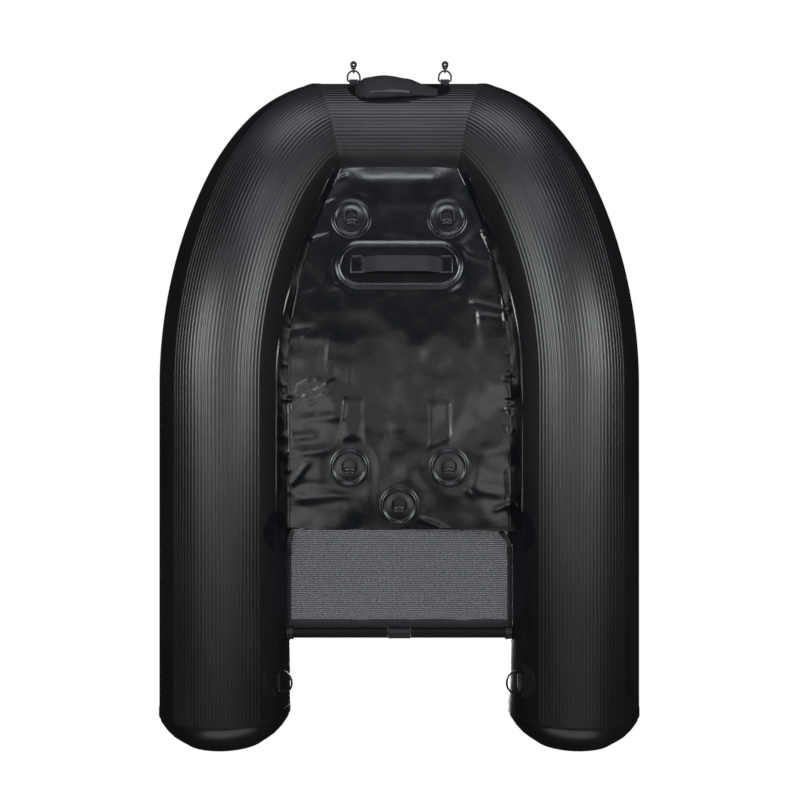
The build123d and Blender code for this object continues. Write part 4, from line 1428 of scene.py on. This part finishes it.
GRIP_RUN = ((0.109, 0.004), (0.100, 0.009), (0.088, 0.015), (0.050, 0.020), (0.010, 0.020),
            (-0.030, 0.016), (-0.060, 0.010), (-0.080, 0.005), (-0.096, 0.004))
GRIP = ((0.0, 0.026, 0.008), (0.05, 0.046, 0.014), (0.14, 0.058, 0.022), (0.35, 0.062, 0.022),
        (0.62, 0.050, 0.017), (0.84, 0.032, 0.009), (1.0, 0.020, 0.005))
GRIP_ANGLE = math.radians(39.5)
TRIM_SHIFT = Vector((0.0, -0.014, -0.0118))            # from the grip's run to its lower side
grip_place = on_bow(0.0, GRIP_ANGLE, 0.0049)
grip_run = [grip_place @ point for point in eased([(x, 0.0, z) for x, z in GRIP_RUN], 10)]
grip_across = Vector((0.0, -0.97, -0.24))
grip = piece(sleeve(grip_run, grip_across, GRIP), "bow_padded_handle", "grip_cloth")
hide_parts("bow_handle")
trim_run = [point + TRIM_SHIFT for point in grip_run[14:-27]]
made, length = strap(trim_run, Vector((0.0, -0.9, -0.3)), 0.0085, 0.0016)
trim = piece(made, "bow_handle_trim", "welded_patch")
print("bow handle trim", round(length, 3), "m long, of", len(grip_run), "points")

# %% [markdown]
# ## Snap hooks
# A bag or a tow line clips on at the bow. Each snap hook is a stout casting: a barrel, an eye
# round the ring's wire and a pear-shaped hook whose rod is nearly as thick as its opening. The
# rod is the same rolled sleeve, closed on itself inside the barrel.

# %% Stout snap hooks on the bow rings
HOOK_RUN = ((0.0, 0.006), (-0.0040, 0.010), (-0.0053, 0.014), (-0.0051, 0.0185), (0.0, 0.0212),
            (0.0051, 0.0185), (0.0053, 0.014), (0.0040, 0.010), (0.0, 0.006))
HOOK_ROD = ((0.0, 0.0070, 0.0070), (1.0, 0.0070, 0.0070))
EYE_ROD = ((0.0, 0.0040, 0.0040), (1.0, 0.0040, 0.0040))
EYE_R = 0.0048
EYE_STEPS = 40
HOOK_SEAT = 0.0320            # from the tube's skin to the far wire of the bow ring


def snap_hook():
    place = on_bow(0.118, math.radians(72.0), HOOK_SEAT)
    run = eased([(x, 0.0, z) for x, z in HOOK_RUN], 2, 0.0008)
    made = sleeve([place @ point for point in run], (place.to_3x3() @ UNIT_Y).normalized(),
                  HOOK_ROD, 16)
    eye = [place @ Vector((0.0, EYE_R * math.cos(turn), EYE_R * math.sin(turn)))
           for turn in [FULL_TURN * step / EYE_STEPS for step in range(EYE_STEPS + 1)]]
    ring = sleeve(eye, (place.to_3x3() @ Vector((1, 0, 0))).normalized(), EYE_ROD, 14)
    barrel = bmesh.new()
    bmesh.ops.create_cone(barrel, cap_ends=True, segments=28, radius1=0.0064, radius2=0.0056,
                          depth=0.0100, matrix=place @ Matrix.Translation((0, 0, 0.0085)))
    rims = [edge for edge in barrel.edges if edge.calc_face_angle() > 1.0]
    bmesh.ops.bevel(barrel, geom=rims, offset=0.0014, segments=3, profile=0.5, affect="EDGES")
    return gathered([made, ring, barrel])


for side, name in SIDES:
    hook = piece(snap_hook(), name + "_bow_snap", "black_wire", side)
    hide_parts(name + "_snap_hook")
print("snap hooks", [round(v, 3) for v in hook.dimensions])

# %% [markdown]
# ## Leg support
# Behind the belly panel the angler's legs rest on a sheet of netting. It is stretched between
# the tubes and a hem that reaches back to the bar, and it sags a little in the middle. It is
# one thin sheet: its holes are far too many to model, so they are in its finish. Its sides are
# bound with tape that is glued on to the tubes.

# %% Netting, hem and binding
NET_HALF_X = 0.2700
NET_BAR_Y = -0.5565           # where the netting meets its hem, near the bar
NET_PANEL_Y = -0.3270         # where it ends, over the panel's edge
NET_LAP = 0.0060              # how far it runs on into the hem
NET_Z = 0.138
NET_SAG = 0.0035
NET_PULL = 0.0012             # height of the faint lines in it
BAR_Y = -0.588
BAR_R = 0.0125
HEM_T = 0.0030
HEM_WAVE = 0.0035
HEM_PUFF = 0.0012
BINDING_ENDS = (-0.5770, -0.3315)
BINDING_W = 0.0220
BINDING_T = 0.0012
BINDING_LIFT = 0.001          # the tape's middle lies this far off the tube


def net_height(x, y):
    """The netting sags between its edges and pulls in faint lines towards the bar."""
    share = (y - NET_BAR_Y) / (NET_PANEL_Y - NET_BAR_Y)
    sag = max(1 - (x / NET_HALF_X) ** 2, 0.0) * math.sin(math.pi * min(max(share, 0.0), 1.0))
    pull = noise.noise(Vector((x * 14.0, y * 3.0, 1.0))) * NET_PULL
    return NET_Z - NET_SAG * sag + pull * sag


def net():
    made = bmesh.new()
    bmesh.ops.create_grid(made, x_segments=64, y_segments=28, size=0.5)
    for vert in made.verts:
        x = vert.co.x * 2 * NET_HALF_X
        y = NET_PANEL_Y - (0.5 - vert.co.y) * (NET_PANEL_Y - NET_BAR_Y + NET_LAP)
        vert.co = (x, y, net_height(x, y))
    bmesh.ops.reverse_faces(made, faces=made.faces)
    return made


def net_hem():
    """A flat sleeve of cloth: its free edge waves a little where the stitches pull it."""
    made = cloth_grid(150, 10, lambda spot: (spot.x * 2 * NET_HALF_X, spot.y * 0.03))
    for vert in made.verts:
        x, share = vert.co.x * 2 * (NET_HALF_X + 0.002), vert.co.y + 0.5
        free = NET_BAR_Y + 0.001 + noise.noise(Vector((x * 16.0, 3.0, 0.0))) * HEM_WAVE
        rear = BAR_Y + BAR_R - 0.0006
        puff = math.sin(math.pi * share) * HEM_PUFF * (1 + noise.noise(Vector((x * 40, 0, 0))))
        vert.co = (x, rear + share * (free - rear), NET_Z - HEM_T / 2 - puff)
    bmesh.ops.reverse_faces(made, faces=made.faces)
    thicken(made, HEM_T)
    sharpen(made)
    return made


def net_binding():
    """Tape over the netting's side edge, turned down against the tube and glued there."""
    made = cloth_grid(60, 10, lambda spot: (spot.x * 0.21, spot.y * 0.025))
    meet = TUBE_X - math.sqrt(TUBE_R ** 2 - (AXIS_Z - NET_Z) ** 2)
    start = NET_HALF_X - 0.0015
    for vert in made.verts:
        y = BINDING_ENDS[0] + (vert.co.x + 0.5) * (BINDING_ENDS[1] - BINDING_ENDS[0])
        x, z = start + (vert.co.y + 0.5) * BINDING_W, NET_Z - 0.0014
        past = x - (meet - BINDING_LIFT)
        if past > 0:
            angle = math.atan2(AXIS_Z - NET_Z, TUBE_X - meet) + past / TUBE_R
            x = TUBE_X - (TUBE_R + BINDING_LIFT) * math.cos(angle)
            z = AXIS_Z - (TUBE_R + BINDING_LIFT) * math.sin(angle)
        vert.co = (x, y, z)
    for _ in range(2):
        bmesh.ops.smooth_vert(made, verts=[v for v in made.verts if not v.is_boundary],
                              factor=0.5, use_axis_x=True, use_axis_z=True)
    bmesh.ops.reverse_faces(made, faces=made.faces)
    thicken(made, BINDING_T)
    sharpen(made)
    return made


netting_sheet = piece(net(), "leg_netting", "netting")
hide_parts("leg_mesh")
hem = piece(net_hem(), "leg_netting_hem", "grip_cloth")
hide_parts("mesh_hem")
for side, name in SIDES:
    tape = piece(net_binding(), name + "_netting_tape", "grip_cloth", side)
    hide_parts(name + "_mesh_binding")
print("netting", [round(v, 3) for v in netting_sheet.dimensions])

# %% [markdown]
# A short strap ties each rear corner of the panel back to the tube beside the netting. The
# starboard one lies straight along the tube, and the port one stands out in a bow.

# %% Corner straps
CORNER_TIES = ((1, "starboard", 0.264, 0.002), (-1, "port", 0.249, 0.016))   # x at the panel, bow
TIE_ACROSS = Vector((0.95, 0.30, 0.15))

for side, name, first_x, bow in CORNER_TIES:
    start, end = Vector((first_x, -0.333, 0.124)), Vector((0.271, -0.392, 0.128))
    middle = (start + end) / 2 + Vector((0.004 + bow * 0.5, 0.0, -0.008 - bow * 0.4))
    made, length = strap(eased((start, middle, end), 60, 0.0015), TIE_ACROSS, 0.012, 0.002)
    tie = piece(made, name + "_corner_tie", "grip_cloth", side)
    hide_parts(name + "_corner_strap")
    print(name, "corner tie", round(length, 3), "m")

# %% [markdown]
# ## Welded seams
# Wherever two lengths of tube are joined, a tape of the same fabric is welded over the joint.
# It shows as a faint raised band. A ring of the tube's section, a little larger, is swept and
# cut by two planes, one on either side of the seam.

# %% Seam tapes
TAPE_HALF = 0.016
TAPE_LIFT = 0.0004
TAPE_T = 0.0007
TAPE_R = TUBE_R + TAPE_LIFT + TAPE_T
TAPE_START_Y = -0.1           # the bow tape is cut from a tube that starts here
CAP_TAPE = (-0.003, 0.019)    # start and width, from the cap's seam


def welded(made, side, name):
    """Thicken a ring of tape inwards and make a piece of it."""
    bmesh.ops.recalc_face_normals(made, faces=made.faces)
    centre = sum((vert.co for vert in made.verts), Vector()) / len(made.verts)
    made.normal_update()
    if (made.faces[:][0].calc_center_median() - centre).dot(made.faces[:][0].normal) < 0:
        bmesh.ops.reverse_faces(made, faces=made.faces)
    thicken(made, TAPE_T)
    sharpen(made)
    tape = piece(made, name, "tube_skin", side)


for side, name in SIDES:
    made = bmesh.new()
    points = [section_point(TAPE_R, angle, TAPE_START_Y) for angle in WHOLE_TURN]
    run_along(made, draw_section(made, points), TAPE_START_Y, 4)
    cut(made, SEAM, MITRE, keep_front=False)
    cut(made, SEAM - MITRE * TAPE_HALF, MITRE, keep_front=True)
    welded(made, side, name + "_bow_seam_tape")
    made = bmesh.new()
    bmesh.ops.create_circle(made, segments=ROUND, radius=TAPE_R,
                            matrix=section_frame(CAP_SEAM_Y + CAP_TAPE[0]))
    extruded(made, made.edges[:], (0.0, CAP_TAPE[1], 0.0))
    welded(made, side, name + "_cap_seam_tape")
made = bow_run([(TAPE_R, angle) for angle in WHOLE_TURN])
for side, name in SIDES:
    half = made.copy()
    normal = Vector((side * MITRE.x, MITRE.y, MITRE.z))
    point = Vector((side * SEAM.x, SEAM.y, SEAM.z)) + normal * TAPE_HALF
    cut(half, point, normal, keep_front=False)
    welded(half, 1, name + "_bow_side_tape")
made.free()
print("seam tapes", TAPE_HALF * 2000, "mm wide")

# %% [markdown]
# ## Seat and backrest
# Both are inflated cushions with welded channels. A plain box can't give that shape: the cloth
# crowns between its welds, pulls in along its sides and wrinkles beside the seams. So a box of
# about the cushion's size is remeshed evenly and blown up as cloth under pressure, with the
# channels held in place. How far a point may move is capped, so the size stays known.

# %% Blow up a cushion
PRESSURE = 4.0
FRAMES = 20
HELD_LEAST = 0.01             # a weaker hold than this is none


def evaluated(thing):
    """The mesh of an object with its modifiers applied."""
    graph = bpy.context.evaluated_depsgraph_get()
    return bpy.data.meshes.new_from_object(thing.evaluated_get(graph))


def rounded_box(low, high, edge):
    """Closed box with rounded edges, as a mesh."""
    made = bmesh.new()
    place = Matrix.Translation((low + high) / 2) @ Matrix.Diagonal((*(high - low), 1.0))
    bmesh.ops.create_cube(made, size=1.0, matrix=place)
    bmesh.ops.bevel(made, geom=made.edges[:], offset=edge, segments=5, profile=0.5,
                    affect="EDGES", material=-1)
    mesh = bpy.data.meshes.new("cushion_start")
    made.to_mesh(mesh)
    made.free()
    return mesh


def blown(mesh, voxel, cap, held):
    """Remesh a closed mesh evenly and inflate it. held gives, for a point, how firmly the
    welds hold it, from 0 to 1. Returns the mesh and how far its points moved."""
    start = bpy.data.objects.new("cushion_start", mesh)
    scene.collection.objects.link(start)
    remesh = start.modifiers.new("even", "REMESH")
    remesh.mode = "VOXEL"
    remesh.voxel_size = voxel
    even = evaluated(start)
    bpy.data.objects.remove(start)
    balloon = bpy.data.objects.new("balloon", even)
    scene.collection.objects.link(balloon)
    group = balloon.vertex_groups.new(name="welds")
    for vert in even.vertices:
        grip = held(vert.co)
        if grip > HELD_LEAST:
            group.add([vert.index], grip, "REPLACE")
    cloth = balloon.modifiers.new("air", "CLOTH")
    cloth.settings.use_pressure = True
    cloth.settings.uniform_pressure_force = PRESSURE
    cloth.settings.quality = 5
    cloth.settings.effector_weights.gravity = 0.0
    cloth.settings.vertex_group_mass = "welds"
    cloth.point_cache.frame_start = 1
    cloth.point_cache.frame_end = FRAMES
    for number in range(1, FRAMES + 1):
        scene.frame_set(number)
    full = evaluated(balloon)
    moved = 0.0
    for vert, new in zip(even.vertices, full.vertices):
        move = new.co - vert.co
        if move.length > cap:
            move *= cap / move.length
        moved = max(moved, move.length)
        vert.co += move
    bpy.data.objects.remove(balloon)
    bpy.data.meshes.remove(full)
    scene.frame_set(1)
    return even, moved


def off_line(point, start, end):
    """Distance of a point from a stretch of straight line, seen along z."""
    start, end, flat = Vector(start), Vector(end), point.to_2d()
    share = (flat - start).dot(end - start) / (end - start).length_squared
    return (flat - start - (end - start) * min(max(share, 0.0), 1.0)).length


print("pressure", PRESSURE, "for", FRAMES, "frames")

# %% [markdown]
# The blown mesh is subdivided once, and then the fine shapes are pressed into it: the grooves of
# the welds, the puckers beside them and a little slack.

# %% Fine shape of a cushion
WELD_HALF = 0.006
WELD_FADE = 0.010             # from held to free, beside a weld
GROOVE_W = 0.0075


def refined(mesh, name, body, dents, place=None):
    """One round of subdivision, then the fine dents, as a finished piece."""
    thing = bpy.data.objects.new("refine", mesh)
    scene.collection.objects.link(thing)
    fine = thing.modifiers.new("fine", "SUBSURF")
    fine.levels = fine.render_levels = 1
    smooth = evaluated(thing)
    bpy.data.objects.remove(thing)
    made = bmesh.new()
    made.from_mesh(smooth)
    made.normal_update()
    push_out(made, lambda vert: dents(vert.co, vert.normal))
    if place is not None:
        bmesh.ops.transform(made, matrix=place, verts=made.verts)
    bmesh.ops.recalc_face_normals(made, faces=made.faces)
    return piece(made, name, "seat_cloth", body=body)


def weld_gap(point, welds):
    """Distance to the nearest weld of a cushion, seen along z."""
    return min(off_line(point, start, end) for start, end in welds)


def weld_hold(gap):
    return 1.0 - between(gap, WELD_HALF, WELD_HALF + WELD_FADE)


def groove(gap, depth):
    return -depth * math.exp(-(gap / GROOVE_W) ** 2)


def puckers(point, gap, reach):
    """Short creases that run out from a weld or seam."""
    fade = 1.0 - between(gap, 0.0, reach)
    return noise.noise(Vector((point.x * 9, point.y * 60, point.z * 60))) * 0.0016 * fade


# %% [markdown]
# The seat is held at its floor and along two channels that run fore and aft, and it crowns
# between them.

# %% Seat
SEAT_LOW = Vector((-0.262, -0.327, 0.146))
SEAT_HIGH = Vector((0.262, 0.213, 0.345))
SEAT_VOXEL = 0.0085
SEAT_CAP = 0.020
SEAT_WELDS = (((-0.088, -0.235), (-0.088, 0.085)), ((0.088, -0.235), (0.088, 0.085)))
SEAT_ROUND = 0.034            # how far its box is rounded off
SEAT_CROWN = 0.017            # how much lower the box is than the blown seat
SEAT_SEAM = 0.045             # height of the top seam, below the crown


def seat_hold(point):
    if point.z < SEAT_LOW.z + 0.03:
        return 0.9
    if point.z < SEAT_HIGH.z - 0.05:
        return 0.0
    return weld_hold(weld_gap(point, SEAT_WELDS))


def seat_dents(point, normal):
    soft = noise.noise(point * 7.0) * 0.0012
    if normal.z < 0.3:
        gap = abs(point.z - (SEAT_HIGH.z - SEAT_SEAM))
        return soft + puckers(point.yxz, gap, 0.035)
    gap = weld_gap(point, SEAT_WELDS)
    return soft + groove(gap, 0.0075) + puckers(point, gap, 0.05)


shrink = Vector((SEAT_CAP * 0.8, SEAT_CAP * 0.8, 0.0))
mesh = rounded_box(SEAT_LOW + shrink, SEAT_HIGH - shrink - Vector((0, 0, SEAT_CROWN)),
                   SEAT_ROUND)
even, moved = blown(mesh, SEAT_VOXEL, SEAT_CAP, seat_hold)
seat = refined(even, "seat_cushion_blown", "hull", seat_dents)
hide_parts("seat_cushion")
print("seat", len(seat.data.polygons), "faces, blown out", round(moved, 4), "m")

# %% [markdown]
# The backrest is drawn upright at the origin, blown up and then leaned back into its place on
# the fold line. Both of its faces are held along two channels.

# %% Backrest
FOLD = Vector((0.0, 0.116, 0.353))
BACK_SIZE = Vector((0.500, 0.085, 0.424))
BACK_LEAN = math.radians(12.0)
BACK_VOXEL = 0.0078
BACK_CAP = 0.018
BACK_WELDS = (((-0.083, 0.075), (-0.083, 0.330)), ((0.083, 0.075), (0.083, 0.330)))
BACK_ROUND = 0.024
BACK_SPREAD = 0.012           # the blowing draws its sides in by this much
BACK_SWELL = 0.0145           # and its faces out by this much
BACK_ENDS = (0.012, 0.020)    # where the box starts and ends, from the foot and the top
lean = (Matrix.Translation(FOLD + Vector((0.0, 0.0, 0.006)))
        @ Matrix.Rotation(-BACK_LEAN, 4, "X"))


def back_gap(point):
    return weld_gap(point.xzy, BACK_WELDS)


def back_hold(point):
    if min(point.y, BACK_SIZE.y - point.y) > 0.03:
        return 0.0
    return weld_hold(back_gap(point))


def back_dents(point, normal):
    soft = noise.noise(point * 8.0 + Vector((5, 0, 0))) * 0.0010
    if abs(normal.y) < 0.4:
        return soft + puckers(point.yxz, abs(point.y - BACK_SIZE.y / 2), 0.03)
    gap = back_gap(point)
    return (soft + groove(gap, 0.0065)
            + puckers(Vector((point.x, point.z, 0.0)), gap, 0.045))


low = Vector((-BACK_SIZE.x / 2 - BACK_SPREAD, BACK_SWELL, BACK_ENDS[0]))
high = Vector((BACK_SIZE.x / 2 + BACK_SPREAD, BACK_SIZE.y - BACK_SWELL,
               BACK_SIZE.z + BACK_ENDS[1]))
even, moved = blown(rounded_box(low, high, BACK_ROUND), BACK_VOXEL, BACK_CAP, back_hold)
back = refined(even, "backrest_blown", "backrest", back_dents, lean)
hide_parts("backrest")
print("backrest", len(back.data.polygons), "faces, blown out", round(moved, 4), "m")

# %% [markdown]
# A cord of piping covers the seams round each cushion. It has to lie on the cushion as it came
# out of the blowing, so a plain loop is dropped on to the nearest point of that surface and a
# thin sleeve is rolled round it.

# %% Piping
PIPE_R = 0.0036
PIPE_STAND = 0.35             # how far its middle stands off the cushion, in radii
PIPE_CORNER = 0.05
PIPE_STEP = 0.006


def surface_of(thing):
    made = bmesh.new()
    made.from_mesh(thing.data)
    tree = BVHTree.FromBMesh(made)
    made.free()
    return tree


def loop_round(half_x, half_y, corner):
    """Even points round a rounded rectangle about the origin."""
    made = rounded_plate(half_x, half_y, corner, 8)
    ring = [loop.vert.co.copy() for loop in made.faces[:][0].loops]
    made.free()
    return eased(ring + [ring[0]], 3, PIPE_STEP)


def piping(thing, loop, name, body):
    """Round cord along a loop, laid on a cushion."""
    tree = surface_of(thing)
    laid = []
    for point in loop[:-1]:
        spot, normal, _, _ = tree.find_nearest(point)
        laid.append(spot + normal * PIPE_R * PIPE_STAND)
    for _ in range(6):
        laid = [laid[i - 1] * 0.25 + laid[i] * 0.5 + laid[(i + 1) % len(laid)] * 0.25
                for i in range(len(laid))]
    made = bmesh.new()
    count = len(laid)
    bmesh.ops.create_grid(made, x_segments=count, y_segments=8, size=0.5)
    for vert in made.verts:
        spot = round((vert.co.x + 0.5) * count) % count
        turn = FULL_TURN * vert.co.y
        ahead = (laid[(spot + 1) % count] - laid[spot - 1]).normalized()
        steady = Vector((0.02, 0.03, 1.0)) if body == "hull" else Vector((0.02, 1.0, 0.03))
        aside = (steady - ahead * steady.dot(ahead)).normalized()
        vert.co = (laid[spot] + aside * math.cos(turn) * PIPE_R
                   + ahead.cross(aside) * math.sin(turn) * PIPE_R)
    bmesh.ops.remove_doubles(made, verts=made.verts, dist=SAME_PLACE)
    bmesh.ops.recalc_face_normals(made, faces=made.faces)
    cord = piece(made, name, "welded_patch", body=body)


centre = (SEAT_LOW + SEAT_HIGH) / 2
size = (SEAT_HIGH - SEAT_LOW) / 2
top = [Vector((point.x, point.y + centre.y, SEAT_HIGH.z - 0.030))
       for point in loop_round(size.x - 0.002, size.y - 0.002, 0.045)]
piping(seat, top, "seat_piping", "hull")
for face, share in (("front", 0.12), ("rear", 0.88)):
    rim = [lean @ Vector((point.x, BACK_SIZE.y * share, point.y + BACK_SIZE.z / 2))
           for point in loop_round(BACK_SIZE.x / 2, BACK_SIZE.z / 2, PIPE_CORNER)]
    piping(back, rim, "backrest_" + face + "_piping", "backrest")
print("piping", len(top), "points round the seat")

# %% [markdown]
# Between the seat and the backrest is a strip of cloth, which is the hinge. It is glued down on
# both, so it has to bend across the joint.

# %% Hinge strip
HINGE_HALF = 0.205
HINGE_T = 0.0012
HINGE_OFF = 0.0016            # the strip's middle lies this far off the cushions
seat_top = surface_of(seat)
back_face = surface_of(back)


def on_seat(y):
    spot, _, _, _ = seat_top.ray_cast(Vector((0.0, y, 0.6)), Vector((0, 0, -1)))
    return spot


def on_back(height):
    start = lean @ Vector((0.0, -0.3, height))
    spot, _, _, _ = back_face.ray_cast(start, lean.to_3x3() @ UNIT_Y)
    return spot


off_seat, off_back = Vector((0, 0, HINGE_OFF)), Vector((0, -HINGE_OFF, 0))
run = eased((on_seat(0.072) + off_seat, on_seat(0.098) + off_seat, Vector((0.0, 0.112, 0.350)),
             on_back(0.026) + off_back, on_back(0.050) + off_back), 8, 0.003)
made, hinge_length = strap(run, Vector((1, 0, 0)), 2 * HINGE_HALF, HINGE_T, columns=60)
hinge = shaped(made, "backrest_hinge_cloth", "seat_cloth")
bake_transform(hinge)
print("hinge strip", round(hinge_length, 3), "m long")

# %% [markdown]
# A webbing strap on each side holds the backrest up. Its buckle stays with the hull, so only
# the length above the buckle bends when the backrest folds. The strap is therefore two pieces:
# the lower one rides on the hull, and the upper one is made apart, on neither body.

# %% Backrest straps
STRAP_W = 0.025
STRAP_T = 0.0022
ANCHOR_TURN = math.radians(140.0)
ANCHOR_R = TUBE_R + 0.022
STRAP_LOW = Vector((TUBE_X - math.sin(ANCHOR_TURN) * ANCHOR_R, -0.052,
                    AXIS_Z - math.cos(ANCHOR_TURN) * ANCHOR_R))      # at the anchor
STRAP_HIGH = Vector((0.263, 0.220, 0.640))
BUCKLE_SHARE = 0.3            # how far up the strap the buckle sits
BUCKLE_GAP = 0.0265           # from the buckle's middle to either strap
LOW_PAST, HIGH_PAST = 0.004, 0.016      # how far the ends run on, past the anchor and the tab

ahead = STRAP_HIGH - STRAP_LOW
step = ahead.normalized()
buckle = STRAP_LOW.lerp(STRAP_HIGH, BUCKLE_SHARE)
lower = (STRAP_LOW - step * LOW_PAST, buckle - step * BUCKLE_GAP)
upper = (buckle + step * BUCKLE_GAP, STRAP_HIGH + step * HIGH_PAST)
flat = ahead.cross(Vector((0, 0, 1))).normalized()
side_of = flat.cross(step).normalized()
for side, name in SIDES:
    made, _ = strap(eased(lower, 0), side_of, STRAP_W, STRAP_T)
    short = piece(made, name + "_strap_lower", "webbing", side)
    made, length = strap(eased(upper, 0), side_of, STRAP_W, STRAP_T)
    long = shaped(made, name + "_strap_upper", "webbing", side)
    start, end = upper[0].copy(), upper[1].copy()
    start.x, end.x = start.x * side, end.x * side
    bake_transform(long)
    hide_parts(name + "_backrest_strap")
    print(name, "upper strap", round(length, 3), "m")

# %% [markdown]
# ## Finishes of the hard parts
# Rings, mounts, bars, buckles and valves keep the CAD model's exact shape. They only need the
# right finish, so each node's name is matched to one.

# %% Finish every remaining CAD node
NODE_FINISH = (("ring_tab", "webbing_solid"), ("snap_hook", "black_wire"),
               ("ring_mount", "welded_patch"), ("ring_pads", "moulded_gloss"),
               ("ring", "black_wire"), ("bow_handle_bases", "moulded_gloss"),
               ("handle_bases", "welded_patch"), ("corner_patch", "panel_gloss"),
               ("crossbar_socket", "moulded_plastic"), ("ferrule", "moulded_plastic"),
               ("crossbar", "black_tube"), ("buckle", "moulded_plastic"),
               ("valve", "moulded_plastic"), ("anchor", "welded_patch"),
               ("backrest_tab", "seat_cloth"))


def webbing_solid():
    """The same webbing for small folded loops, whose weave reads plain coordinates."""
    tree = finish("webbing_solid")
    place = tree.place()
    x, y, z = tree.axes(place)
    turn = FULL_TURN / WEBBING_RIB
    weave = ((x * turn).sine() * 0.6 + ((y + z) * turn).sine() * 0.6) * 0.5 + 0.5
    fuzz = tree.noise(place, 700.0, 2.0)
    tree.surface(Base_Color=tree.tint(weave * 0.6, (0.011, 0.011, 0.0125), (0.035, 0.035, 0.038)),
                 Roughness=0.62 + 0.2 * fuzz,
                 Specular_IOR_Level=0.35,
                 Normal=tree.bump(weave + fuzz * 0.25, 0.0004, 0.8))


webbing_solid()
for name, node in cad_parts.items():
    match = [finish_name for words, finish_name in NODE_FINISH if words in name]
    node.data.materials.clear()
    node.data.materials.append(FINISHES[match[0] if match else "tube_skin"])
    if not match and not node.hide_render:
        print("no finish of its own:", name)

# %% Size and finish
low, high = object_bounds()
print("size", [round(v, 3) for v in high - low])
